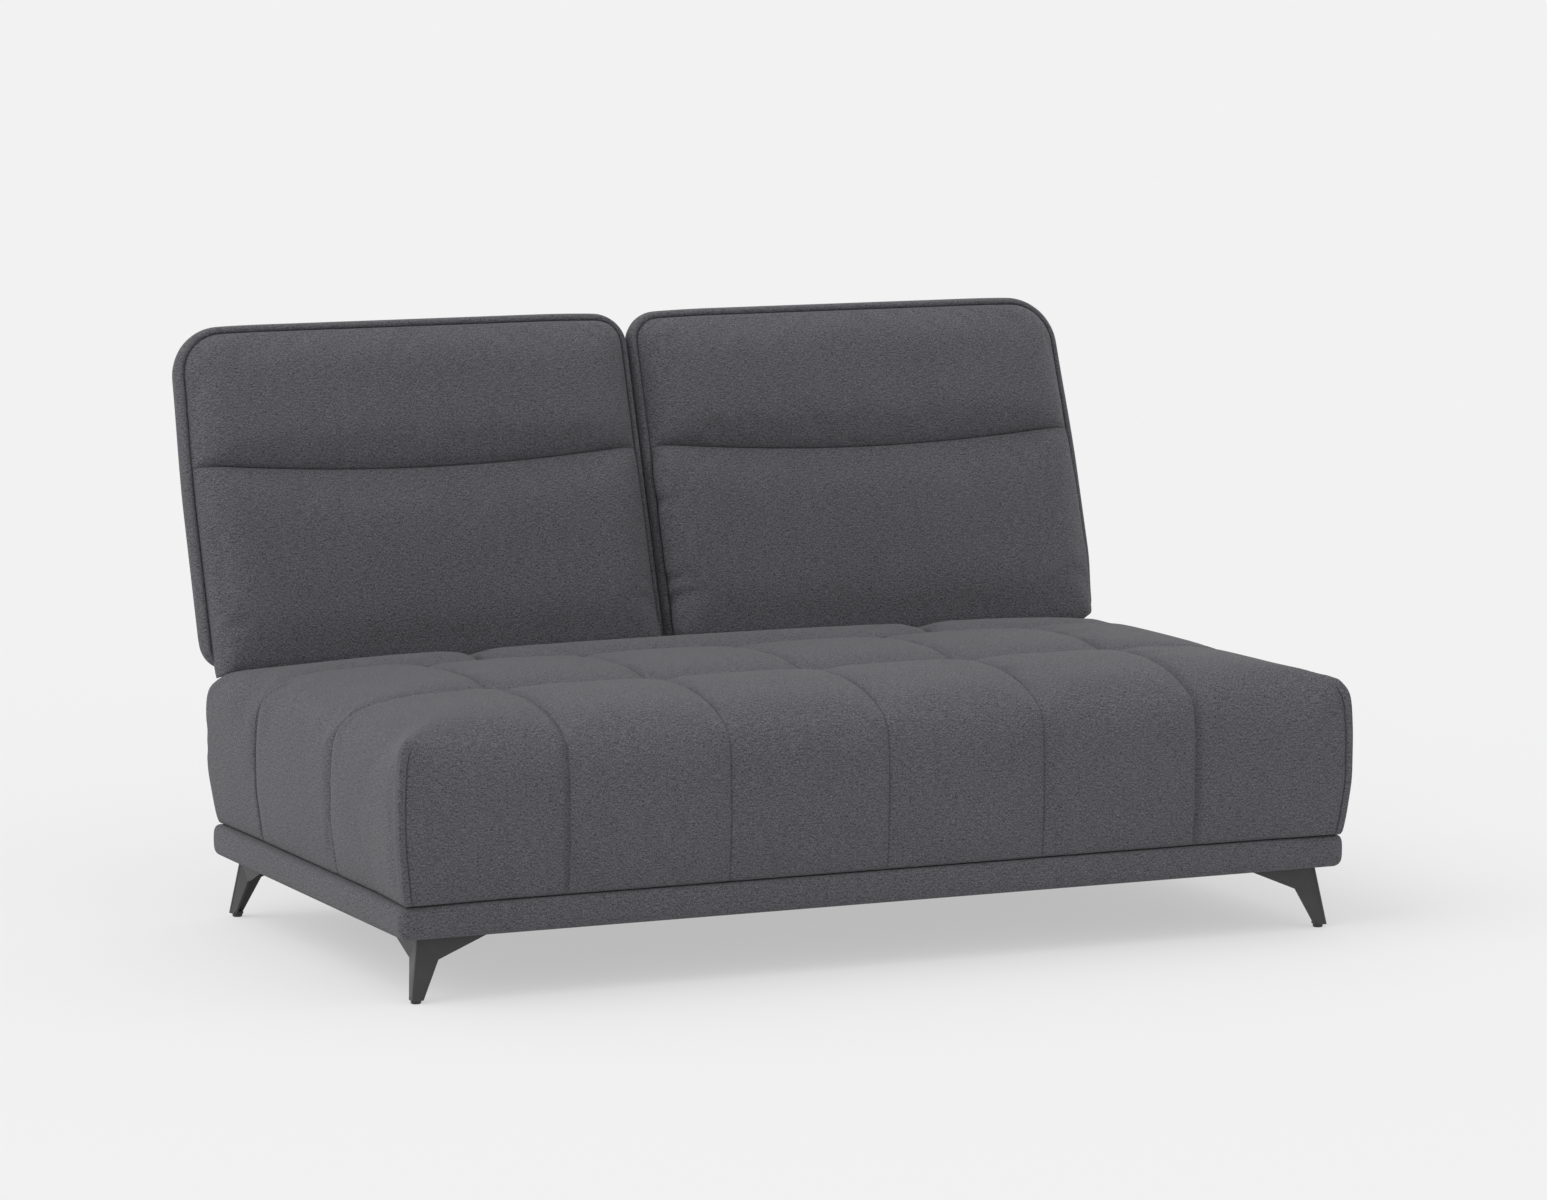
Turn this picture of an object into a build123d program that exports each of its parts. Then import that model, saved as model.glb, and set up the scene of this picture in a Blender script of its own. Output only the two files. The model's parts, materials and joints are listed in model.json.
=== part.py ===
from build123d import *
import math
import os

# Armless two-seat sofa with two backrests that slide fore and aft to change the seat depth.
# Millimetres, +Z up, the front faces -Y, X runs along the width.  The model is drawn with the
# plinth's front face at y = 0 and is moved at the end, so that its box is centred on X and Y.

# ---- overall sizes ----
plinth_width = 1600.0
plinth_depth = 842.0
plinth_height = 52.0
leg_height = 98.0            # floor to the underside of the plinth
seat_crown_height = 437.0    # highest point of a sewn seam on the seat
back_top_height = 938.5
cushion_bulge = 11.0         # how far the cushion's sides swell past the plinth
row_one_depth = 300.0        # front of the plinth to the first cross channel of the tufting
row_two_end = 632.0          # front of the plinth to the second cross channel
columns = 6                  # tufted columns in rows one and two
slit_width = 14.0            # slit in the third row that a backrest's arm moves in

# ---- clearances ----
soft_gap = 0.4               # between soft pieces that lie against each other
wood_gap = 0.3               # between a board and what covers it
slide_gap = 0.5              # nylon shoe in its rail, each side

# ---- plinth and its timber frame ----
band_thickness = 5.0
band_wrap = 26.0             # how far the band turns in under the frame
band_swell = 6.0             # how far the padded band stands out past the seat above it
band_corner = 14.0           # radius of the band's upright edges
band_foot_radius = 12.0
band_top_radius = 6.0
rail_thickness = 22.0
cross_rail_at = 267.0
corner_block = 125.0
dust_cover_thickness = 1.5

# ---- legs ----
leg_inset_side = 32.0        # plinth side to the leg's outer edge, at the top
leg_inset_front = 25.0       # and the same from the plinth's front or rear
leg_splay = 15.0             # how far that edge leans out on its way down
blade_thickness = 4.0
fin_length = 118.0
knee_along = 34.0
knee_drop = 35.0
tip_width = 20.0
glide_height = 5.0
glide_radius = 8.0
leg_plate = 104.0
leg_plate_thickness = 4.0
leg_screw_radius = 3.0
leg_screw_length = 30.0

# ---- seat box and deck ----
border_height = 102.0        # padded border under the cushion, above the plinth
border_thickness = 13.0
board_thickness = 25.0
strap_thickness = 1.5
strap_width = 50.0
strap_pitch = 100.0
felt_thickness = 1.2

# ---- seat cushion ----
cross_channel_height = 421.0
last_channel_height = 414.0
crown_rise = 6.0             # how much a pillow's middle stands above its sewn edges
shoulder_height = 372.0      # where the front starts to round over
shoulder_reach = 78.0        # how far the rounding runs in over the seat
end_shoulder_height = 340.0  # where the two ends start to round over
end_shoulder_reach = 75.0
end_shoulder_rise = 77.0
end_drop = 10.0              # how much lower the third row is at the ends
rear_pad_crest = 422.0
rear_pad_edge = 400.0
rear_channel_lean = 0.26     # forward lean of the joint between rows two and three
seam_depth = 6.0             # how far a sewn seam pulls the sides in
core_gap = 0.6               # between the cushions of rows two and three

# ---- backrests ----
back_gap = 6.0               # between the two backrests
back_tilt = 18.0             # degrees from upright
back_foot_behind = 15.0      # foot of the front seam, behind the plinth
back_edge_depth = 36.0       # front seam to rear face
back_top_radius = 75.0
back_foot_radius = 30.0
cover_wall = 4.0
edge_roll = 9.0              # rolled edge between the outline and the front pad
back_board_thickness = 18.0
pad_crown = 42.0
pad_lip = 5.0                # pad sunk behind the front seam
trim = 0.8                   # extra round the pad before its outline is cut
rear_edge_radius = 24.0
channel_share = 0.585        # height of the sewn channel, as a share of the backrest
channel_droop = 22.0
channel_depth = 30.0
lightening_radius = 55.0

# ---- slide under each backrest ----
slide_rise = 12.0            # degrees that the slide climbs towards the front
slide_travel = 160.0
rail_outer_width = 30.0
rail_outer_height = 24.0
rail_wall = 2.5
rail_mouth = 14.0
carriage_length = 90.0
carriage_bar_width = 14.0
carriage_bar_height = 9.0
shoe_length = 22.0
stop_length = 10.0
rail_setback = 42.0          # rear end of the rail, ahead of the plinth's rear face
rail_lift = 22.0             # and its centre above the plinth
joist_thickness = 20.0
joist_gap = 31.0
arm_thickness = 8.0
arm_width = 36.0             # front to rear, where it comes up out of the seat box
arm_plate_width = 120.0
arm_plate_height = 225.0
arm_plate_thickness = 5.0
arm_plate_from = 18.0        # start of the plate, up from the backrest's foot
bolt_radius = 3.0
bolt_head_radius = 6.0
bolt_head_height = 3.0

# ---- sizes that follow ----
half_width = plinth_width / 2
back_foot_y = plinth_depth + back_foot_behind
back_foot_z = rear_pad_edge
rail_rear_y = plinth_depth - rail_setback
arm_rear_y = rail_rear_y
arm_front_y = rail_rear_y - arm_width
plinth_top = leg_height + plinth_height
rail_rear_z = plinth_top + rail_lift
seat_base = plinth_top + soft_gap
deck_height = plinth_top + border_height
cushion_base = deck_height + 0.6
column_pitch = plinth_width / columns
arm_x = (half_width + back_gap / 2) / 2  # each backrest's middle, where its arm is
slide_angle = math.radians(slide_rise)
tilt = math.radians(back_tilt)
back_width = half_width - back_gap / 2
back_length = (back_top_height - back_foot_z) / math.cos(tilt)
board_face = -(back_edge_depth - cover_wall - wood_gap - back_board_thickness)
arm_plate_face = board_face + wood_gap + arm_plate_thickness
pieces = {}


def block(x0, x1, y0, y1, z0, z1):
    """Box between two corners."""
    return Pos((x0 + x1) / 2, (y0 + y1) / 2, (z0 + z1) / 2) * Box(x1 - x0, y1 - y0, z1 - z0)


def grouped(solids):
    """One node of several loose solids."""
    return Compound(children=list(solids))


def mirrored(shape):
    """The same piece on the other side of the sofa."""
    copies = [solid.mirror(Plane.YZ) for solid in shape.solids()]
    return copies[0] if len(copies) == 1 else grouped(copies)


def fused(*shapes):
    """One solid out of several that touch or overlap."""
    first, *rest = shapes
    whole = first.fuse(*rest)
    return whole.clean()


def wire_through(place, start, *legs):
    """Closed wire from 2-D points.  A leg is an end point, or a (through, end) pair for an arc."""
    edges = []
    here = start
    for leg in (*legs, start):
        if isinstance(leg[0], tuple):
            through, end = leg
            edges.append(Edge.make_three_point_arc(place(*here), place(*through), place(*end)))
        else:
            end = leg
            edges.append(Edge.make_line(place(*here), place(*end)))
        here = end
    return Wire(edges)


def rod(radius, length):
    """Plain eight-sided rod along Z, centred: hidden screws and their holes."""
    return extrude(RegularPolygon(radius, 8), length / 2, both=True)


def side_plane(x):
    """Places (y, z) on the upright plane across X."""
    return lambda y, z: Vector(x, y, z)


def front_plane(y):
    """Places (x, z) on the upright plane across Y."""
    return lambda x, z: Vector(x, y, z)


def back_point(along, out, x=0.0):
    """A point of the backrest: along its height, and out towards the sitter."""
    y = back_foot_y + along * math.sin(tilt) - out * math.cos(tilt)
    z = back_foot_z + along * math.cos(tilt) + out * math.sin(tilt)
    return Vector(x, y, z)


def back_frame_plane(x_centre):
    """Plane of the backrest's front seam: local X across, local Y up it, local Z to the sitter."""
    normal = (0, -math.cos(tilt), math.sin(tilt))
    return Plane(origin=back_point(0, 0, x_centre), x_dir=(1, 0, 0), z_dir=normal)


# ---------------------------------------------------------------- plinth
def plinth_bands():
    """Upholstered band round the timber frame, turned in underneath, as four sewn lengths."""
    s = band_swell
    wide = half_width + s
    outer = block(-wide, wide, -s, plinth_depth + s, leg_height, plinth_top)
    outer = fillet(outer.edges().filter_by(Axis.Z), band_corner)
    outer = fillet(outer.faces().sort_by(Axis.Z)[0].edges(), band_foot_radius)
    outer = fillet(outer.faces().sort_by(Axis.Z)[-1].edges(), band_top_radius)
    t = band_thickness
    inner = block(-half_width + t, half_width - t, t, plinth_depth - t, leg_height + 2, plinth_top + 1)
    under = block(-half_width + band_wrap, half_width - band_wrap,
                  band_wrap, plinth_depth - band_wrap, leg_height - 1, leg_height + 3)
    ring = outer - inner - under
    front_zone = block(-wide, wide, -s, band_wrap, 0, plinth_top + 1)
    rear_zone = block(-wide, wide, plinth_depth - band_wrap, plinth_depth + s, 0, plinth_top + 1)
    middle = block(-wide, wide, band_wrap, plinth_depth - band_wrap, 0, plinth_top + 1)
    sides = ring & middle
    pieces["plinth_band_front"] = ring & front_zone
    pieces["plinth_band_rear"] = ring & rear_zone
    pieces["plinth_band_left"] = sides & block(-wide, 0, 0, plinth_depth, 0, plinth_top)
    pieces["plinth_band_right"] = sides & block(0, wide, 0, plinth_depth, 0, plinth_top)


def base_frame():
    """Timber frame inside the band, with its cross rails and corner blocks."""
    edge = band_thickness + wood_gap
    x = half_width - edge
    y0, y1 = edge, plinth_depth - edge
    z0, z1 = leg_height + 2 + wood_gap, plinth_top
    t = rail_thickness
    pieces["base_rail_front"] = block(-x, x, y0, y0 + t, z0, z1)
    pieces["base_rail_rear"] = block(-x, x, y1 - t, y1, z0, z1)
    pieces["base_rail_left"] = block(-x, -x + t, y0 + t, y1 - t, z0, z1)
    pieces["base_rail_right"] = mirrored(pieces["base_rail_left"])
    cross = block(-cross_rail_at - t / 2, -cross_rail_at + t / 2, y0 + t, y1 - t, z0, z1)
    pieces["base_cross_rail_left"] = cross
    pieces["base_cross_rail_right"] = mirrored(cross)
    corner = Vector(-x + t, y0 + t)
    along_x = corner + Vector(corner_block, 0)
    along_y = corner + Vector(0, corner_block)
    triangle = Polyline(corner, along_x, along_y, close=True)
    one = extrude(Plane.XY.offset(z0) * make_face(triangle), z1 - z0)
    for sx, sy in leg_screw_places():
        one -= Pos(sx, sy, z0) * rod(leg_screw_radius, 2 * leg_screw_length)
    rear = one.mirror(Plane.XZ.offset(-plinth_depth / 2))
    pieces["corner_blocks"] = grouped([one, mirrored(one), rear, mirrored(rear)])


def dust_cover():
    """Woven sheet tacked under the frame, inside the turned-in band."""
    e = band_wrap + soft_gap
    top = leg_height + dust_cover_thickness
    sheet = block(-half_width + e, half_width - e, e, plinth_depth - e, leg_height, top)
    for x, y in leg_screw_places():
        hole = Pos(x, y, leg_height) * rod(leg_screw_radius + 1, 20)
        for corner_hole in at_corners(hole).values():
            sheet -= corner_hole
    pieces["dust_cover"] = sheet


# ---------------------------------------------------------------- legs
def leg_blade():
    """One folded blade of the front left leg: a fin along the plinth and a splayed shaft."""
    corner = (-half_width + leg_inset_side, leg_inset_front, leg_height)
    cx, cy, top = corner
    tip_z = glide_height
    knee = (cx + knee_along, cy, top - knee_drop)
    fin_end = (cx + fin_length, cy, top)
    foot = (cx - leg_splay, cy - leg_splay, tip_z)
    rise = (Vector(*knee) - Vector(*corner)).cross(Vector(*foot) - Vector(*corner))
    tip_x = foot[0] + tip_width
    tip_y = cy - (rise.X * (tip_x - cx) + rise.Z * (tip_z - top)) / rise.Y
    tip = (tip_x, tip_y, tip_z)
    inward = Vector(0, blade_thickness, 0)
    fin = Face(Wire.make_polygon([corner, fin_end, knee]))
    shaft = Face(Wire.make_polygon([corner, knee, tip, foot]))
    return fused(Solid.extrude(fin, inward), Solid.extrude(shaft, inward))


def leg():
    """Front left leg: two mitred blades, a screw plate at the top and a small foot plate."""
    blade = leg_blade()
    x0 = -half_width + leg_inset_side
    y0 = leg_inset_front
    diagonal = Plane(origin=(x0, y0, 0), z_dir=(1, -1, 0))
    other = blade.mirror(diagonal)
    plate_z = leg_height - leg_plate_thickness
    plate = block(x0, x0 + leg_plate, y0, y0 + leg_plate, plate_z, leg_height)
    upright = plate.edges().filter_by(Axis.Z)
    plate = chamfer(upright.sort_by(lambda e: e.center().X + e.center().Y)[-1], leg_plate / 2)
    sole_x = x0 - leg_splay
    sole_y = y0 - leg_splay
    sole = block(sole_x + 2, sole_x + tip_width - 2, sole_y + 2, sole_y + tip_width - 2,
                 glide_height, glide_height + blade_thickness)
    whole = fused(blade, other, plate, sole)
    for x, y in leg_screw_places():
        whole -= Pos(x, y, plate_z) * rod(leg_screw_radius + 0.3, 4 * leg_plate_thickness)
    whole -= Pos(*glide_place(), glide_height) * rod(3.2, 4 * blade_thickness)
    return whole


def leg_screw_places():
    """Screw places of the front left leg's plate."""
    x0 = -half_width + leg_inset_side
    y0 = leg_inset_front
    near, far = 24.0, 78.0
    return [(x0 + near, y0 + near), (x0 + far, y0 + near), (x0 + near, y0 + far)]


def glide_place():
    """Middle of the front left leg's glide."""
    reach = tip_width / 2 + 0.5
    return (-half_width + leg_inset_side - leg_splay + reach, leg_inset_front - leg_splay + reach)


def at_corners(shape):
    """A front left piece and its three mirrored copies, by the corner's name."""
    mid = Plane.XZ.offset(-plinth_depth / 2)
    rear = shape.mirror(mid)
    return {
        "front_left": shape,
        "front_right": mirrored(shape),
        "rear_left": rear,
        "rear_right": mirrored(rear),
    }


def legs_and_glides():
    """Four legs, their nylon glides and the screws that hold them."""
    glide = Pos(*glide_place(), glide_height / 2) * Cylinder(glide_radius, glide_height)
    glide = chamfer(glide.edges().sort_by(Axis.Z)[0], 1.2)
    stem = Pos(*glide_place(), glide_height + 2.5) * rod(3.0, 7.0)
    glide = fused(glide, stem)
    head_z = leg_height - leg_plate_thickness
    screws = []
    for x, y in leg_screw_places():
        head = Pos(x, y, head_z) * extrude(RegularPolygon(5.5, 6), -3.0)
        shank = Pos(x, y, head_z + leg_screw_length / 2) * rod(leg_screw_radius - 0.2, leg_screw_length)
        screws.append(fused(head, shank))
    group = []
    for corner, whole_leg in at_corners(leg()).items():
        pieces["leg_" + corner] = whole_leg
    for corner, whole_glide in at_corners(glide).items():
        pieces["glide_" + corner] = whole_glide
    for screw in screws:
        group.extend(at_corners(screw).values())
    pieces["leg_screws"] = grouped(group)


# ---------------------------------------------------------------- seat box
def seat_boards():
    """Timber box of the seat, with two joists on each side of either slide."""
    edge = border_thickness + wood_gap
    x = half_width - edge
    y0, y1 = edge, plinth_depth - edge
    z0, z1 = plinth_top + wood_gap, deck_height - 2 * strap_thickness - felt_thickness - 0.5
    t = board_thickness
    pieces["seat_board_front"] = block(-x, x, y0, y0 + t, z0, z1)
    pieces["seat_board_rear"] = block(-x, x, y1 - t, y1, z0, z1)
    pieces["seat_board_left"] = block(-x, -x + t, y0 + t, y1 - t, z0, z1)
    pieces["seat_board_right"] = mirrored(pieces["seat_board_left"])
    near = arm_x - joist_gap / 2
    far = arm_x + joist_gap / 2
    inner = block(near - joist_thickness, near, y0 + t, y1 - t, z0, z1)
    outer = block(far, far + joist_thickness, y0 + t, y1 - t, z0, z1)
    pieces["slide_joist_right_inner"] = inner
    pieces["slide_joist_right_outer"] = outer
    pieces["slide_joist_left_inner"] = mirrored(inner)
    pieces["slide_joist_left_outer"] = mirrored(outer)
    return z1


def seat_deck(board_top):
    """Elastic straps and the felt over them."""
    edge = border_thickness + wood_gap
    z1 = board_top + strap_thickness
    z2 = z1 + 0.2
    straps = []
    count = int((half_width - edge - strap_width / 2) // strap_pitch)
    for k in range(-count, count + 1):
        x = k * strap_pitch
        if abs(abs(x) - arm_x) < strap_width:
            continue
        x0, x1 = x - strap_width / 2, x + strap_width / 2
        straps.append(block(x0, x1, edge, plinth_depth - edge, board_top, z1))
    for share in (0.17, 0.35, 0.53):
        y = share * plinth_depth
        x = half_width - edge
        straps.append(block(-x, x, y - strap_width / 2, y + strap_width / 2, z2, z2 + strap_thickness))
    pieces["seat_webbing"] = grouped(straps)
    z3 = z2 + strap_thickness + 0.1
    inset = edge + 2
    x = half_width - inset
    z4 = z3 + felt_thickness
    felt = block(-x, x, inset, plinth_depth - inset, z3, z4)
    for x in (-arm_x, arm_x):
        felt -= block(x - slit_width, x + slit_width, row_two_end - 60, plinth_depth, z3 - 1, z4 + 1)
    pieces["spring_felt"] = felt


# ---------------------------------------------------------------- seat cushion
def bulge_at(swell, past_the_corner):
    """How far the sides stand out: least on a sewn seam, most between seams and at the corners."""
    return cushion_bulge if past_the_corner else cushion_bulge - seam_depth * (1 - swell)


def front_section(x, swell):
    """Side view of rows one and two at x; swell is 0 on a sewn seam and 1 in a pillow's middle."""
    bulge = bulge_at(swell, abs(x) > half_width)
    rise = crown_rise * swell
    end_z = last_channel_height + 0.3 * rise
    end_y = row_two_end + (end_z - last_channel_height) * rear_channel_lean
    foot_y = row_two_end - (last_channel_height - seat_base) * rear_channel_lean
    mid_z = (seat_base + shoulder_height) / 2
    shoulder_y = -0.4 * bulge
    brow = (0.24 * shoulder_reach, seat_crown_height - 30 + 0.4 * rise)
    crown_z = seat_crown_height + 1 + rise
    return wire_through(
        side_plane(x),
        (-0.1 * bulge, seat_base),
        ((-bulge, mid_z), (shoulder_y, shoulder_height)),
        (brow, (shoulder_reach, seat_crown_height - 8 + 0.7 * rise)),
        ((0.6 * row_one_depth, crown_z), (row_one_depth, cross_channel_height + 0.3 * rise)),
        (((row_one_depth + row_two_end) / 2, crown_z), (end_y, end_z)),
        (foot_y, seat_base),
    )


def rear_section(x, swell):
    """Side view of row three at x."""
    bulge = bulge_at(swell, abs(x) > half_width)
    rise = 0.3 * crown_rise * (swell - 1)
    start_z = last_channel_height + 2 * rise
    start_y = row_two_end + (start_z - last_channel_height) * rear_channel_lean + core_gap
    foot_y = row_two_end - (last_channel_height - seat_base) * rear_channel_lean + core_gap
    mid_z = (seat_base + shoulder_height) / 2
    edge_y = plinth_depth - 14
    return wire_through(
        side_plane(x),
        (foot_y, seat_base),
        (start_y, start_z),
        ((start_y + 68, rear_pad_crest + 2 * rise), (edge_y, rear_pad_edge + rise)),
        ((edge_y + 16, rear_pad_edge - 11 + rise), (plinth_depth + 0.8 * bulge, shoulder_height - 6)),
        ((plinth_depth + bulge, mid_z - 10), (plinth_depth + 0.1 * bulge, seat_base)),
    )


def pillow_row(section, seams):
    """Pillows side by side: each is lofted from seam to middle to seam, so the seams stay sharp."""
    row = []
    for left, right in zip(seams, seams[1:]):
        sections = [section(left, 0), section((left + right) / 2, 1), section(right, 0)]
        row.append(Solid.make_loft(sections))
    return fused(*row)


def end_section(y, swell):
    """Front view of the seat's ends at y: bulged sides that round over and climb to the crown."""
    bulge = bulge_at(swell, y < 0 or y > plinth_depth)
    drop = end_drop if y > row_two_end + 10 else 0.0
    lift = 0.5 * crown_rise * swell - drop
    mid_z = (seat_base + end_shoulder_height) / 2
    low = half_width + 0.1 * bulge
    mid = half_width + bulge
    high = half_width + 0.5 * bulge
    turn = half_width - 0.2 * end_shoulder_reach
    turn_z = end_shoulder_height + 0.65 * end_shoulder_rise + lift
    brow = half_width - end_shoulder_reach
    brow_z = end_shoulder_height + end_shoulder_rise + lift
    slope = half_width - 0.6 * column_pitch
    top = half_width - 1.1 * column_pitch
    top_z = seat_crown_height + crown_rise + 6 - 0.3 * drop
    slope_z = 0.45 * brow_z + 0.55 * top_z
    return wire_through(
        front_plane(y),
        (-low, seat_base - 1),
        ((-mid, mid_z), (-high, end_shoulder_height)),
        ((-turn, turn_z), (-brow, brow_z)),
        ((-slope, slope_z), (-top, top_z)),
        (top, top_z),
        ((slope, slope_z), (brow, brow_z)),
        ((turn, turn_z), (high, end_shoulder_height)),
        ((mid, mid_z), (low, seat_base - 1)),
    )


def seat_ends():
    """Solid that trims the cushions to the shape of the sofa's two ends."""
    seams = [-40.0, row_one_depth - 5, row_two_end + 5, plinth_depth + 40]
    row = []
    for near, far in zip(seams, seams[1:]):
        sections = [end_section(near, 0), end_section((near + far) / 2, 1), end_section(far, 0)]
        row.append(Solid.make_loft(sections))
    return fused(*row)


def seat_upholstery():
    """Tufted seat cushion, the three pads of its third row and the padded border below them."""
    ends = seat_ends()
    over = 40.0
    column_seams = [k * column_pitch - half_width for k in range(columns + 1)]
    column_seams[0] -= over
    column_seams[-1] += over
    front = pillow_row(front_section, column_seams) & ends
    rear = pillow_row(rear_section, [-half_width - over, -arm_x, arm_x, half_width + over]) & ends

    wide = half_width + over
    above = block(-wide, wide, -over, plinth_depth + over, cushion_base, seat_crown_height + over)
    pieces["seat_cushion"] = front & above
    half_slit = slit_width / 2
    rear_pads = rear & above
    zones = {
        "left": (-wide, -arm_x - half_slit),
        "centre": (-arm_x + half_slit, arm_x - half_slit),
        "right": (arm_x + half_slit, wide),
    }
    for name, (x0, x1) in zones.items():
        zone = block(x0, x1, 0, plinth_depth + over, 0, seat_crown_height + over)
        pieces["rear_pad_" + name] = rear_pads & zone

    skin = border_thickness
    pieces["border_front"] = front & block(-wide, wide, -over, skin, 0, deck_height)
    rear_zone = block(-wide, wide, plinth_depth - skin, plinth_depth + over, 0, deck_height)
    pieces["border_rear"] = rear & rear_zone
    side_zone = block(-wide, -half_width + skin, skin, plinth_depth - skin, seat_base, deck_height)
    pieces["border_left"] = ends & side_zone
    pieces["border_right"] = mirrored(pieces["border_left"])


# ---------------------------------------------------------------- slides
def slide_plane(x):
    """Plane at the slide's rear end: local X across, local Y up, local Z forward along the slide."""
    forward = (0, -math.cos(slide_angle), math.sin(slide_angle))
    return Plane(origin=(x, rail_rear_y, rail_rear_z), x_dir=(1, 0, 0), z_dir=forward)


def slide_rail(x):
    """Folded steel channel, open along its top for the arm."""
    w, h, t = rail_outer_width, rail_outer_height, rail_wall
    length = carriage_length + slide_travel + 2 * stop_length
    mouth = Pos(0, h / 2) * Rectangle(rail_mouth, 2 * t + 1)
    section = Rectangle(w, h) - Rectangle(w - 2 * t, h - 2 * t) - mouth
    return extrude(slide_plane(x) * section, length)


def slide_block(x, width, height, start, length, rise=0.0):
    """Box inside the slide: width across, height up, from start along the slide."""
    place = slide_plane(x).offset(start)
    return extrude(place * Pos(0, rise) * Rectangle(width, height), length)


def slide_fixed_parts():
    """Rails, their screws and the rubber stops, left and right."""
    length = carriage_length + slide_travel + 2 * stop_length
    inner_w = rail_outer_width - 2 * rail_wall - 2 * slide_gap
    inner_h = rail_outer_height - 2 * rail_wall - 2 * slide_gap
    screws, stops = [], []
    for name, x in (("left", -arm_x), ("right", arm_x)):
        rail = slide_rail(x)
        for side in (-1, 1):
            for along in (0.2 * length, 0.8 * length):
                start = slide_plane(x).offset(along).origin
                wall_x = start.X + side * rail_outer_width / 2
                rail -= Pos(wall_x, start.Y, start.Z) * Rot(0, 90, 0) * rod(2.2, 8)
                head_x = start.X + side * (rail_outer_width / 2 - rail_wall)
                shank = Pos(head_x + side * 8, start.Y, start.Z) * Rot(0, 90, 0) * rod(2.0, 16)
                screws.append(shank)
        pieces["slide_rail_" + name] = rail
        stops.append(slide_block(x, inner_w, inner_h, 0, stop_length - 0.3))
        stops.append(slide_block(x, inner_w, inner_h, length - stop_length + 0.3, stop_length - 0.3))
    pieces["rail_screws"] = grouped(screws)
    for name in ("left_inner", "left_outer", "right_inner", "right_outer"):
        for screw in screws:
            pieces["slide_joist_" + name] -= screw
    pieces["rail_stops"] = grouped(stops)


def carriage(x):
    """Steel bar that rides in the rail."""
    return slide_block(x, carriage_bar_width, carriage_bar_height, stop_length, carriage_length)


def slide_shoes(x):
    """Two nylon shoes round the ends of the carriage bar."""
    inner_w = rail_outer_width - 2 * rail_wall - 2 * slide_gap
    inner_h = rail_outer_height - 2 * rail_wall - 2 * slide_gap
    shoes = []
    for start in (stop_length, stop_length + carriage_length - shoe_length):
        shoe = slide_block(x, inner_w, inner_h, start, shoe_length)
        bore = slide_block(x, carriage_bar_width, carriage_bar_height, start - 1, shoe_length + 2)
        shoes.append(shoe - bore)
    return grouped(shoes)


def back_arm(x):
    """Steel arm: an upright plate through the slit, welded to the plate behind the back pad."""
    rear_foot = slide_plane(x).offset(stop_length + shoe_length + 1).origin
    front_foot = slide_plane(x).offset(stop_length + carriage_length - shoe_length - 1).origin
    upward = Vector(0, math.sin(slide_angle), math.cos(slide_angle))
    lift = upward * (carriage_bar_height / 2)
    clear = upward * (rail_outer_height / 2 + 2)
    front_top = back_point(arm_plate_from, arm_plate_face)
    inner_top = back_point(arm_plate_from + 26, arm_plate_face - arm_plate_thickness)
    outer_top = back_point(arm_plate_from + 26, -back_edge_depth + cover_wall + 2)
    rear_top = back_point(arm_plate_from, -back_edge_depth + cover_wall + 2)
    outline = [
        ((front_foot + lift).Y, (front_foot + lift).Z),
        ((front_foot + clear).Y, (front_foot + clear).Z),
        (arm_front_y, deck_height - 20),
        (arm_front_y, deck_height + 6),
        (arm_front_y + arm_width, back_foot_z - 55),
        (back_foot_y - 5, back_foot_z - 23),
        (front_top.Y, front_top.Z),
        (inner_top.Y, inner_top.Z),
        (outer_top.Y, outer_top.Z),
        (rear_top.Y, rear_top.Z),
        (back_foot_y + 21, back_foot_z - 34),
        (back_foot_y - 13, back_foot_z - 65),
        (arm_rear_y, deck_height + 6),
        (arm_rear_y, deck_height - 38),
        ((rear_foot + clear).Y, (rear_foot + clear).Z),
        ((rear_foot + lift).Y, (rear_foot + lift).Z),
    ]
    face = Face(Wire.make_polygon([Vector(x - arm_thickness / 2, y, z) for y, z in outline]))
    riser = Solid.extrude(face, Vector(arm_thickness, 0, 0))
    place = back_frame_plane(x).offset(arm_plate_face - arm_plate_thickness)
    place = place * Pos(0, arm_plate_from + arm_plate_height / 2)
    plate = extrude(place * RectangleRounded(arm_plate_width, arm_plate_height, 10), arm_plate_thickness)
    return fused(riser, plate)


# ---------------------------------------------------------------- backrests
def back_outline(inset):
    """Front view of a backrest, in the plane of its front seam, shrunk by inset."""
    half = back_width / 2 - inset
    y0, y1 = inset, back_length - inset
    sketch = Pos(0, (y0 + y1) / 2) * Rectangle(2 * half, y1 - y0)
    sketch = fillet(sketch.vertices().group_by(Axis.Y)[-1], back_top_radius - inset)
    return fillet(sketch.vertices().group_by(Axis.Y)[0], back_foot_radius - 0.5 * inset)


def back_slab(x, inset, rear, depth):
    """The outline, shrunk by inset and made solid from rear (measured from the front seam)."""
    return extrude(back_frame_plane(x).offset(rear) * back_outline(inset), depth)


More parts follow.
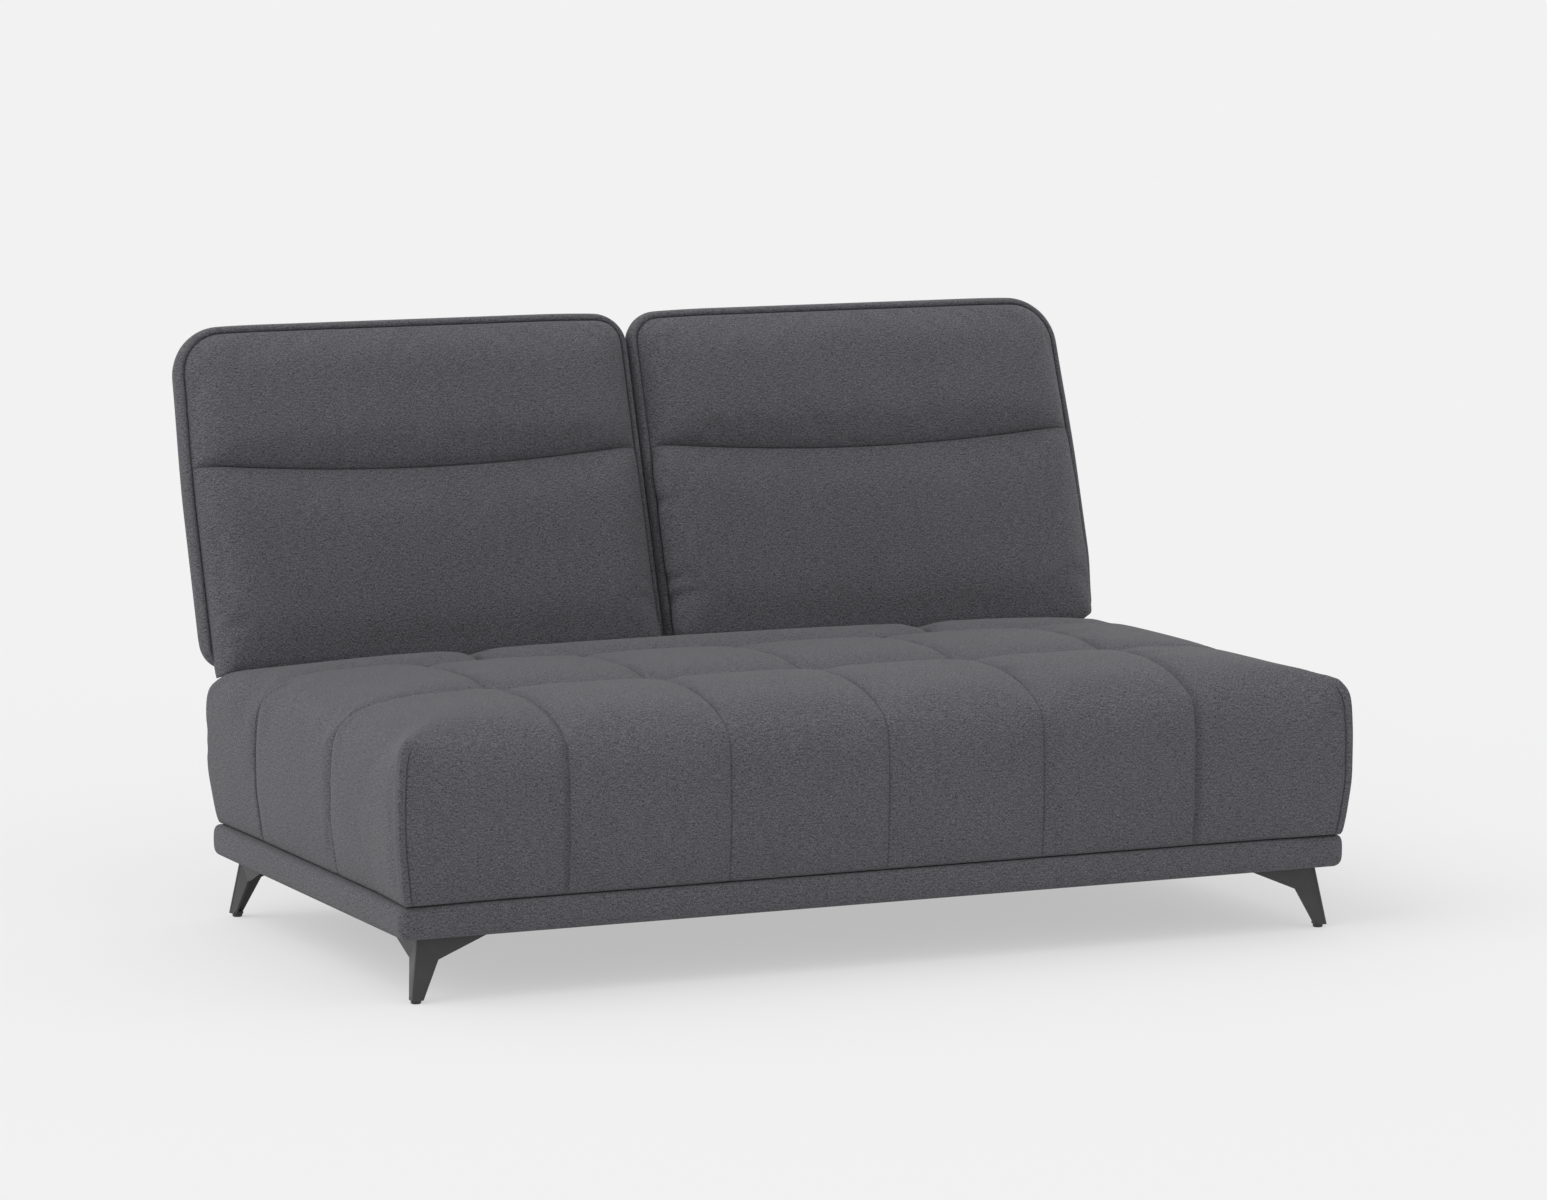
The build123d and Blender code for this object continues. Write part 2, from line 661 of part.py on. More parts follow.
def foot_sweep(x, wall):
    """What the casing's foot lacks: it sweeps up to the rear.  wall moves the sweep inwards."""
    d = back_edge_depth
    points = lambda along, out: back_point(along, out, x - back_width)
    side_view = wire_through(
        points,
        (1.8 * wall - 4, -3 - wall),
        ((1.3 * wall + 12, 0.75 * wall - 0.64 * d), (wall + 52, wall - d - 2)),
        (wall + 52, -2 * d),
        (-20, -2 * d),
        (-20, -3 - wall),
    )
    return Solid.extrude(Face(side_view), Vector(2 * back_width, 0, 0))


def back_cover(x):
    """Fabric-covered casing round the back and edges, open towards the front pad."""
    rear_plane = Axis(tuple(back_point(0, 0, x)), (0, -math.cos(tilt), math.sin(tilt)))
    shell = back_slab(x, 0, -back_edge_depth, back_edge_depth)
    shell = fillet(shell.faces().sort_by(rear_plane)[0].edges(), rear_edge_radius)
    shell = shell - foot_sweep(x, 0)
    room = back_slab(x, edge_roll, cover_wall - back_edge_depth, 2 * back_edge_depth)
    room = fillet(room.faces().sort_by(rear_plane)[0].edges(), rear_edge_radius - edge_roll)
    return shell - (room - foot_sweep(x, cover_wall)) - slot_for_arm(x, 1.5)


def slot_for_arm(x, play):
    """Way through the casing's foot for the arm."""
    place = back_frame_plane(x).offset(-back_edge_depth - 5)
    width = arm_thickness + 2 * play
    reach = arm_plate_from + 30
    return extrude(place * Pos(0, reach / 2 - 10) * Rectangle(width, reach + 20), back_edge_depth + 1)


def back_board(x):
    """Plywood board inside the casing, bevelled at the rear, with holes to lighten it."""
    rear_plane = Axis(tuple(back_point(0, 0, x)), (0, -math.cos(tilt), math.sin(tilt)))
    rear = board_face - back_board_thickness
    board = back_slab(x, edge_roll + wood_gap, rear, back_board_thickness)
    board = chamfer(board.faces().sort_by(rear_plane)[0].edges(), rear_edge_radius - edge_roll - 0.6)
    openings = Sketch() + Rectangle(back_width, 2 * (arm_plate_from + 42))
    step = back_width / 4
    for column in (-1, 0, 1):
        for along in (0.52, 0.78):
            openings += Pos(column * step, along * back_length) * Circle(lightening_radius)
    for bx, by in arm_bolt_places():
        openings += Pos(bx, by) * RegularPolygon(bolt_radius + 0.2, 8)
    return board - extrude(back_frame_plane(x).offset(rear - 1) * openings, back_board_thickness + 2)


def arm_bolt_places():
    """Bolt places on the arm's plate, in the plane of the backrest."""
    dx = arm_plate_width / 2 - 20
    return [(sx * dx, y) for sx in (-1, 1) for y in (95.0, arm_plate_height - 10)]


def arm_bolts(x):
    """Bolts that hold the board to the arm's plate."""
    bolts = []
    for bx, by in arm_bolt_places():
        place = back_frame_plane(x).offset(arm_plate_face) * Pos(bx, by)
        head = extrude(place * RegularPolygon(bolt_head_radius, 6), bolt_head_height)
        depth = arm_plate_thickness + wood_gap + back_board_thickness - 2
        shank = extrude(place * RegularPolygon(bolt_radius, 8), -depth)
        bolts.append(fused(head, shank))
    return grouped(bolts)


def pad_side_view(x, share, droop):
    """Side view of the front pad at x: a lower and an upper pad that meet in the sewn channel."""
    foot = edge_roll - trim
    top = back_length - edge_roll + trim
    seam = channel_share * back_length - droop
    full = share * pad_crown
    points = lambda along, out: back_point(along, out, x)
    return wire_through(
        points,
        (foot, -pad_lip),
        (foot, 1.0),
        ((foot + 9, 0.55 * full), (foot + 48, 0.87 * full)),
        (((foot + seam) / 2, full), (seam - 46, 0.9 * full)),
        ((seam - 14, 0.7 * full), (seam, full - channel_depth)),
        ((seam + 9, 0.68 * full), (seam + 36, 0.86 * full)),
        (((seam + top) / 2, 0.96 * full), (top - 60, 0.78 * full)),
        ((top - 17, 0.47 * full), (top, 1.0)),
        (top, -pad_lip),
    )


def pad_plan_view(x):
    """Top view of the front pad: its two sides round over on to the crowned face."""
    half = back_width / 2 - edge_roll + trim
    points = lambda across, out: back_point(-trim, out, x + across)
    full = pad_crown
    return Face(wire_through(
        points,
        (-half, -pad_lip - trim),
        (-half, 1.0),
        ((-half + 12, 0.55 * full), (-half + 64, 1.05 * full)),
        ((0, 1.7 * full), (half - 64, 1.05 * full)),
        ((half - 12, 0.55 * full), (half, 1.0)),
        (half, -pad_lip - trim),
    ))


def back_pad(x):
    """Crowned front pad with a drooping sewn channel and the outline's rounded corners."""
    half = back_width / 2
    sections = [
        pad_side_view(x - half, 0.94, 0),
        pad_side_view(x, 1.0, channel_droop),
        pad_side_view(x + half, 0.94, 0),
    ]
    crowned = Solid.make_loft(sections)
    up = back_point(back_length + 2 * trim, 0) - back_point(0, 0)
    rounded = Solid.extrude(pad_plan_view(x), up)
    return crowned & rounded & back_slab(x, edge_roll + 0.3, -back_edge_depth, 4 * back_edge_depth)


def backrests():
    """Both backrests, each on its own carriage."""
    x_back = back_gap / 2 + back_width / 2
    right = {
        "carriage_bar": carriage(arm_x),
        "slide_shoes": slide_shoes(arm_x),
        "back_arm": back_arm(arm_x) - bolt_holes(arm_x),
        "arm_bolts": arm_bolts(arm_x),
        "back_board": back_board(x_back),
        "back_cover": back_cover(x_back),
        "back_pad": back_pad(x_back),
    }
    for name, piece in right.items():
        pieces[name + "_left"] = mirrored(piece)
        pieces[name + "_right"] = piece


def bolt_holes(x):
    """Holes for the bolts in the arm's plate."""
    sketch = Sketch() + [Pos(bx, by) * RegularPolygon(bolt_radius + 0.2, 8) for bx, by in arm_bolt_places()]
    return extrude(back_frame_plane(x).offset(-back_edge_depth) * sketch, back_edge_depth)


def main():
    plinth_bands()
    base_frame()
    dust_cover()
    legs_and_glides()
    board_top = seat_boards()
    seat_deck(board_top)
    seat_upholstery()
    slide_fixed_parts()
    backrests()
    os.makedirs("parts", exist_ok=True)
    boxes = [piece.bounding_box() for piece in pieces.values()]
    low = [min(tuple(box.min)[k] for box in boxes) for k in range(3)]
    high = [max(tuple(box.max)[k] for box in boxes) for k in range(3)]
    to_frame = Pos(-(low[0] + high[0]) / 2, -(low[1] + high[1]) / 2, -low[2])
    for name, piece in pieces.items():
        export_step(to_frame * piece, "parts/" + name + ".step")
    print(len(pieces), "nodes, moved by", to_frame.position, "from", low, high)


main()
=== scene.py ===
"""Looks of the armless sofa: padded covers over the CAD frame, cloth and metal finishes, studio."""

import bmesh
import bpy
import json
import math
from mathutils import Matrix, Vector


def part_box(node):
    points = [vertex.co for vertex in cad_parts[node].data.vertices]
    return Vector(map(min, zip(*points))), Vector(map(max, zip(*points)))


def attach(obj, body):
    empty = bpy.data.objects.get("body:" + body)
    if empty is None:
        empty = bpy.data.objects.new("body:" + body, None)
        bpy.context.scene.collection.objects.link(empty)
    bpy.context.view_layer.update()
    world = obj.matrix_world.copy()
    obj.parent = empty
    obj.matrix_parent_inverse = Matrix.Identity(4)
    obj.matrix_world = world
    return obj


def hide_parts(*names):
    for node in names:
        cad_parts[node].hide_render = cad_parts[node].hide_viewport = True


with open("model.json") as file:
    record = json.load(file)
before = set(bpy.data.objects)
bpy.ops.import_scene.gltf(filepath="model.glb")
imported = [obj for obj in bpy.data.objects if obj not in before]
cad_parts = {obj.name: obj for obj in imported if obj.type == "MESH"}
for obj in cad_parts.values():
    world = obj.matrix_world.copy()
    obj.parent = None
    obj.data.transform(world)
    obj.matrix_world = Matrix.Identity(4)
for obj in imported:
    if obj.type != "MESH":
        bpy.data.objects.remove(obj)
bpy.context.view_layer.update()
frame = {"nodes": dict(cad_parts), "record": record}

# ------------------------------------------------------------------ sizes, in metres
HALF = 0.800                 # plinth's half width, on the line of the seat above it
DEPTH = 0.842                # from the plinth's front to its rear
SEAT_BASE = 0.1504           # foot of the seat's cover, just above the plinth
DECK = 0.2526                # top of the seat box, under the cushion
SKIRT = 0.012                # thickness of the cover where it hangs in front of the seat box
RIM = HALF - 0.012           # where the seat's top meets its ends, from the middle
COLUMN = 2 * HALF / 6        # width of one of the seat's six columns
ROW_A, ROW_B = 0.300, 0.637  # seams between the seat's rows, from the plinth's front
ROW_SEAM = 0.414             # height of the seam between rows two and three
COVER_LEAN, PAD_LEAN = 0.290, 0.26   # forward lean of the walls on either side of that seam
SLIT_AT = 0.4015             # the arms' slits in row three, from the middle
SLIT_HALF = 0.007
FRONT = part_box("base_rail_front")[0].y - 0.0053      # the plinth's front, in the frame
BACK_TILT = math.radians(18)
BACK_FOOT = (FRONT + DEPTH + 0.015, 0.400)           # y and z of a backrest's lower front edge
BACK_GAP = 0.003                                     # half the gap between the backrests
BACK_WIDTH = HALF - BACK_GAP
BACK_LENGTH = (0.9385 - BACK_FOOT[1]) / math.cos(BACK_TILT)
PAD_INSET = 0.0122                                   # seam of the front pad, from the backrest's edge
CHANNEL = 0.325                                      # mean height of the sewn channel, up the backrest
STUFFING_FRAMES = 20


# ------------------------------------------------------------------ small helpers
def ease(a, b, v):
    """0 before a, 1 after b, smooth between them."""
    t = min(1.0, max(0.0, (v - a) / (b - a)))
    return t * t * (3 - 2 * t)


def line_of(*points):
    """A smooth curve through (position, value) pairs, as a function of the position."""
    xs = [p[0] for p in points]
    ys = [p[1] for p in points]
    slopes = [(b - a) / (d - c) for a, b, c, d in zip(ys, ys[1:], xs, xs[1:])]
    ends = [slopes[0]]
    for left, right in zip(slopes, slopes[1:]):
        ends.append(0.0 if left * right <= 0 else 2 * left * right / (left + right))
    ends.append(slopes[-1])

    def value(x):
        if x <= xs[0]:
            return ys[0] + (x - xs[0]) * ends[0]
        for k in range(len(slopes)):
            if x <= xs[k + 1]:
                break
        else:
            return ys[-1] + (x - xs[-1]) * ends[-1]
        h = xs[k + 1] - xs[k]
        t = (x - xs[k]) / h
        rise = (2 * t ** 3 - 3 * t ** 2 + 1) * ys[k] + (3 * t ** 2 - 2 * t ** 3) * ys[k + 1]
        return rise + (t ** 3 - 2 * t ** 2 + t) * h * ends[k] + (t ** 3 - t ** 2) * h * ends[k + 1]

    return value


def lower_of(a, b, soft=0.006):
    """The lower of two heights, with the corner between them rounded."""
    h = max(soft - abs(a - b), 0.0) / soft
    return min(a, b) - h * h * soft / 4


def puff(t, power=0.55):
    """Rise of a pillow between two seams, from 0 on a seam to 1 in the middle."""
    return max(0.0, 4 * t * (1 - t)) ** power


def gridded_box(across, deep, high):
    """A unit box from 0 to 1 with that many faces along each side."""
    bm = bmesh.new()
    bmesh.ops.create_cube(bm, size=1.0)
    bmesh.ops.translate(bm, verts=bm.verts, vec=(0.5, 0.5, 0.5))
    for axis, count in enumerate((across, deep, high)):
        if count < 2:
            continue
        along = [e for e in bm.edges if abs(e.verts[0].co[axis] - e.verts[1].co[axis]) > 0.5]
        bmesh.ops.subdivide_edges(bm, edges=along, cuts=count - 1, use_grid_fill=True)
    return bm


def stuffed(piece, held, reach):
    """Lets the stuffing fill a cover out: cloth under pressure, held at its seams, capped at reach."""
    mesh = piece.data
    start = [v.co.copy() for v in mesh.vertices]
    group = piece.vertex_groups.new(name="held")
    for index, weight in enumerate(held):
        if weight > 0.01:
            group.add([index], weight, "REPLACE")
    cloth = piece.modifiers.new("stuffing", "CLOTH")
    cloth.settings.quality = 5
    cloth.settings.mass = 0.3
    cloth.settings.use_pressure = True
    cloth.settings.uniform_pressure_force = 4.0
    cloth.settings.vertex_group_mass = "held"
    cloth.settings.shrink_min = -0.012
    cloth.settings.effector_weights.gravity = 0.0
    cloth.collision_settings.use_collision = False
    cloth.collision_settings.use_self_collision = False
    cloth.point_cache.frame_start = 1
    cloth.point_cache.frame_end = STUFFING_FRAMES
    scene = bpy.context.scene
    for step in range(STUFFING_FRAMES):
        scene.frame_set(step + 1)
    filled = piece.evaluated_get(bpy.context.evaluated_depsgraph_get()).to_mesh()
    places = [v.co.copy() for v in filled.vertices]
    piece.modifiers.remove(cloth)
    scene.frame_set(1)
    for v, before, after, weight in zip(mesh.vertices, start, places, held):
        move = after - before
        if move.length > 1e-7:
            move *= reach * math.tanh(move.length / reach) / move.length
        v.co = before + move * (1 - weight)
    piece.vertex_groups.clear()
    mesh.update()


def sewn(bm, seam_shade):
    """Marks the painted shade of each point in a seam, crease or recess, for the cloth to darken there as if
    in shade.
    """
    layer = bm.verts.layers.float.new("seam")
    for v, amount in zip(bm.verts, seam_shade):
        v[layer] = amount


def finished(bm, name, body, nodes, held=None, reach=0.005):
    """The bmesh as a smooth padded piece that rides on a body and replaces the nodes named.

    Where it is given how firmly each point is held at the seams, the cover is stuffed.
    """
    bmesh.ops.recalc_face_normals(bm, faces=bm.faces)
    mesh = bpy.data.meshes.new(name)
    bm.to_mesh(mesh)
    bm.free()
    mesh.polygons.foreach_set("use_smooth", [True] * len(mesh.polygons))
    piece = bpy.data.objects.new(name, mesh)
    bpy.context.scene.collection.objects.link(piece)
    if held:
        stuffed(piece, held, reach)
    finer = piece.modifiers.new("finer", "SUBSURF")
    finer.levels = 1
    finer.render_levels = 1
    mesh.materials.append(CLOTH)
    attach(piece, body)
    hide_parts(*nodes)


def flat_map(bm, directions):
    """UV map in metres: each face is laid flat on the pair of directions that suits it best."""
    layer = bm.loops.layers.uv.new("weave")
    bm.normal_update()
    for face in bm.faces:
        _, across, along = max(directions, key=lambda d: abs(face.normal.dot(d[0])))
        for loop in face.loops:
            loop[layer].uv = (loop.vert.co.dot(across), loop.vert.co.dot(along))


X, Y, Z = Vector((1, 0, 0)), Vector((0, 1, 0)), Vector((0, 0, 1))
SEAT_CLOTH = [(Z, X, Y), (Y, X, Z), (X, Y, Z)]


# ------------------------------------------------------------------ cloth and other finishes
class Knit:
    """One shader value; the operators add Math nodes for it."""

    def __init__(self, tree, socket):
        self.tree = tree
        self.socket = socket

    def math(self, operation, other=None):
        node = self.tree.nodes.new("ShaderNodeMath")
        node.operation = operation
        for port, value in zip(node.inputs, (self, other)):
            if isinstance(value, Knit):
                self.tree.links.new(value.socket, port)
            elif value is not None:
                port.default_value = value
        return Knit(self.tree, node.outputs[0])

    def __add__(self, other):
        return self.math("ADD", other)

    __radd__ = __add__

    def __mul__(self, other):
        return self.math("MULTIPLY", other)

    __rmul__ = __mul__

    def __sub__(self, other):
        return self.math("SUBTRACT", other)

    def __rsub__(self, other):
        return self.math("MULTIPLY", -1.0) + other


class Finish:
    """A material in the making: nodes by type, with their settings and inputs."""

    def __init__(self, name):
        self.material = bpy.data.materials.new(name)
        self.material.use_nodes = True
        self.tree = self.material.node_tree
        self.tree.nodes.clear()
        self.out = self.tree.nodes.new("ShaderNodeOutputMaterial")
        self.shader = self.tree.nodes.new("ShaderNodeBsdfPrincipled")
        self.tree.links.new(self.shader.outputs["BSDF"], self.out.inputs["Surface"])

    def node(self, kind, settings=None, output=0, **inputs):
        node = self.tree.nodes.new(kind)
        for name, value in (settings or {}).items():
            setattr(node, name, value)
        for name, value in inputs.items():
            port = node.inputs[int(name[1:])] if name[0] == "i" and name[1:].isdigit() else node.inputs[name]
            self.feed(port, value)
        return Knit(self.tree, node.outputs[output])

    def feed(self, port, value):
        if isinstance(value, Knit):
            self.tree.links.new(value.socket, port)
        else:
            port.default_value = value

    def set(self, **inputs):
        for name, value in inputs.items():
            self.feed(self.shader.inputs[name.replace("_", " ")], value)


def upholstery_cloth():
    """Heathered charcoal cloth: a plain weave whose threads vary in thickness and shade, with painted shade
    darkening it in its seams and recesses.
    """
    f = Finish("heathered charcoal cloth")
    uv = f.node("ShaderNodeUVMap", {"uv_map": "weave"})
    place = f.node("ShaderNodeTexCoord", output="Object")

    def threads(across, along, detail=2.0):
        """Noise drawn out into threads: how many shades to the metre, across and along the weave."""
        stretched = f.node("ShaderNodeMapping", {"vector_type": "POINT"}, i0=uv, Scale=(across, along, 1.0))
        return f.node("ShaderNodeTexNoise", i0=stretched, Scale=1.0, Detail=detail, Roughness=0.6) - 0.5

    weft = threads(230.0, 880.0)
    warp = threads(880.0, 300.0)
    slub = threads(70.0, 420.0, 1.0)
    heather = f.node("ShaderNodeTexNoise", i0=place, Scale=24.0, Detail=4.0, Roughness=0.6) - 0.5
    cloudy = f.node("ShaderNodeTexNoise", i0=place, Scale=4.0, Detail=2.0) - 0.5
    tone = 0.5 + weft * 2.3 + warp * 2.3 + slub * 0.8 + heather * 0.16 + cloudy * 0.12
    tone = f.node("ShaderNodeClamp", i0=tone)
    colour = f.node("ShaderNodeMix", {"data_type": "RGBA"}, 2, i0=tone,
                    i6=(0.0345, 0.0338, 0.0370, 1), i7=(0.164, 0.1605, 0.1770, 1))
    # Painted shade: the seam attribute darkens the cloth towards near black in seams, creases, the pads'
    # channels and recesses, where shade falls.
    seam = f.node("ShaderNodeAttribute", {"attribute_name": "seam"}, 2)
    seam = f.node("ShaderNodeClamp", i0=seam)
    colour = f.node("ShaderNodeMix", {"data_type": "RGBA"}, 2, i0=seam * 0.8,
                    i6=colour, i7=(0.012, 0.012, 0.013, 1))
    bump = f.node("ShaderNodeBump", Strength=0.7, Distance=0.0011, Height=weft * 1.5 + warp * 1.2 + slub)
    f.set(Base_Color=colour, Roughness=0.92, Normal=bump, Sheen_Weight=0.12, Sheen_Roughness=0.5,
          Specular_IOR_Level=0.2)
    return f.material


CLOTH = upholstery_cloth()


# ------------------------------------------------------------------ seat
# Outward stand of the seat's sides against the plinth's line, from its foot to the shoulder.
side_stand = line_of((0.0, -0.008), (0.05, -0.0055), (0.2, -0.001), (0.42, 0.004), (0.62, 0.0042),
                     (0.8, 0.002), (0.91, -0.0015), (0.965, -0.006), (1.0, -0.012))
# The same for the front, which stands a little prouder, against the plinth's front.
front_stand = line_of((0.0, 0.0005), (0.05, 0.002), (0.2, 0.0055), (0.42, 0.0080), (0.62, 0.0080),
                      (0.8, 0.0072), (0.91, 0.0055), (0.965, 0.0022), (1.0, -0.002))
# Heights along the middle of a column: over the front shoulder, rows one and two, and row three.
front_rise = line_of((0.002, 0.380), (0.008, 0.388), (0.040, 0.411), (0.075, 0.4245), (0.114, 0.432),
                     (0.155, 0.437), (0.200, 0.4375), (0.250, 0.434), (0.280, 0.4285), (0.300, 0.423))
second_rise = line_of((0.300, 0.423), (0.325, 0.4295), (0.365, 0.436), (0.410, 0.439), (0.470, 0.438),
                      (0.540, 0.433), (0.590, 0.4265), (0.618, 0.420), (0.637, 0.413))
third_rise = line_of((0.637, 0.413), (0.650, 0.4185), (0.680, 0.4225), (0.710, 0.4235), (0.745, 0.4178),
                     (0.780, 0.4108), (0.815, 0.4025), (0.835, 0.3965), (0.842, 0.3915))
# Height of the two ends, by the distance from the plinth's side.
end_rise = line_of((0.012, 0.387), (0.015, 0.390), (0.030, 0.401), (0.050, 0.410), (0.075, 0.417),
                   (0.100, 0.4215), (0.150, 0.428), (0.200, 0.4325), (0.267, 0.4375), (0.400, 0.446))
rear_end_rise = line_of((0.012, 0.3925), (0.0145, 0.3965), (0.022, 0.3992), (0.036, 0.4020), (0.060, 0.4060),
                        (0.100, 0.4110), (0.150, 0.4160), (0.267, 0.4240), (0.400, 0.4330))


def ear(x, y, corner_y=0.002, reach=0.10):
    """1 at a front corner of the seat, where the boxed corner stands up, falling to 0 round it."""
    d = math.hypot(RIM - abs(x), y - corner_y)
    return max(0.0, 1 - d / reach) ** 2


def groove(d, width):
    """Sharp little valley along a sewn seam, at distance d from it."""
    return math.exp(-(d / width) ** 2)


def seat_height(x, y):
    """Height of rows one and two."""
    if y < ROW_A:
        row, t = front_rise(y), 0.5 + 0.5 * y / ROW_A
    else:
        row, t = second_rise(y), (y - ROW_A) / (ROW_B - ROW_A)
    inside = HALF - abs(x)
    column = ((x + HALF) / COLUMN) % 1.0
    seam = 0.0
    if inside > 0.2:
        seam = (1 - puff(column)) * ease(0.2, 0.267, inside)
    fade = ease(-0.01, 0.05, y)
    height = row - 0.0065 * seam * fade
    end = end_rise(inside) + 0.003 * (puff(t) - 0.6) * ease(-0.005, 0.06, y)
    across = min(column, 1 - column) * COLUMN if inside > 0.2 else 1.0
    stitched = max(groove(across, 0.003), groove(y - ROW_A, 0.003))
    return lower_of(height, end) - 0.0026 * stitched + 0.018 * ear(x, y)


def side_swell(x, y, c):
    """How far the seat's sides swell between seams: c climbs from 0 at the foot to 1 at the rim."""
    arch = math.sin(math.pi * min(1.0, c * 1.02)) ** 0.8
    if abs(x) > HALF - 0.02:
        near, far = (-0.3, ROW_A) if y < ROW_A else (ROW_A, ROW_B) if y < ROW_B else (ROW_B, 1.15)
        seam = min(abs(y - near), abs(y - far))
        swell = 0.0022 * arch * puff((y - near) / (far - near), 0.4)
    else:
        t = ((x + HALF) / COLUMN) % 1.0
        seam = min(t, 1 - t) * COLUMN if abs(x) < HALF - 0.2 else 1.0
        swell = 0.0022 * arch * (puff(t, 0.4) if abs(x) < HALF - COLUMN else 1.0)
    at_corner = (1 - ease(0.0, 0.16, y)) + 0.35 * ease(DEPTH - 0.16, DEPTH, y)
    at_corner *= ease(HALF - 0.16, RIM, abs(x))
    swell += at_corner * 0.0065 * (1 - c) ** 0.3
    return swell - 0.0020 * groove(seam, 0.0024)


def eased(t, pull=0.88):
    """Moves grid lines towards both seams of a panel."""
    return t - pull * math.sin(2 * math.pi * t) / (2 * math.pi)


WELT = (0.0, 0.0015, 0.0060, 0.0104, 0.0116, 0.0136)      # grid lines of a corner's felled seam


def column_place(i):
    """Place across the seat of grid line i of 108; seams fall on every 18th."""
    if i > 54:
        return -column_place(108 - i)
    if i >= 18:
        return -HALF + (i // 18 + eased((i % 18) / 18)) * COLUMN
    if i < len(WELT):
        return WELT[i] - RIM
    t = (i - 5) / 13
    t += 0.31 * math.sin(math.pi * t) * (t - 0.72)
    return WELT[5] - RIM + (RIM - HALF + COLUMN - WELT[5]) * t


def row_place(b):
    """Place from front to rear of a grid line over rows one and two; row one has 20 of 42 faces."""
    first = 20 / 42
    if b <= first:
        u = b / first
        bend = u - (0.6 * math.sin(math.pi * u) * (0.75 - u) + 0.10 * math.sin(2 * math.pi * u)) / math.pi
        return 0.002 + (ROW_A - 0.002) * bend
    return ROW_A + (ROW_B - ROW_A) * eased((b - first) / (1 - first))


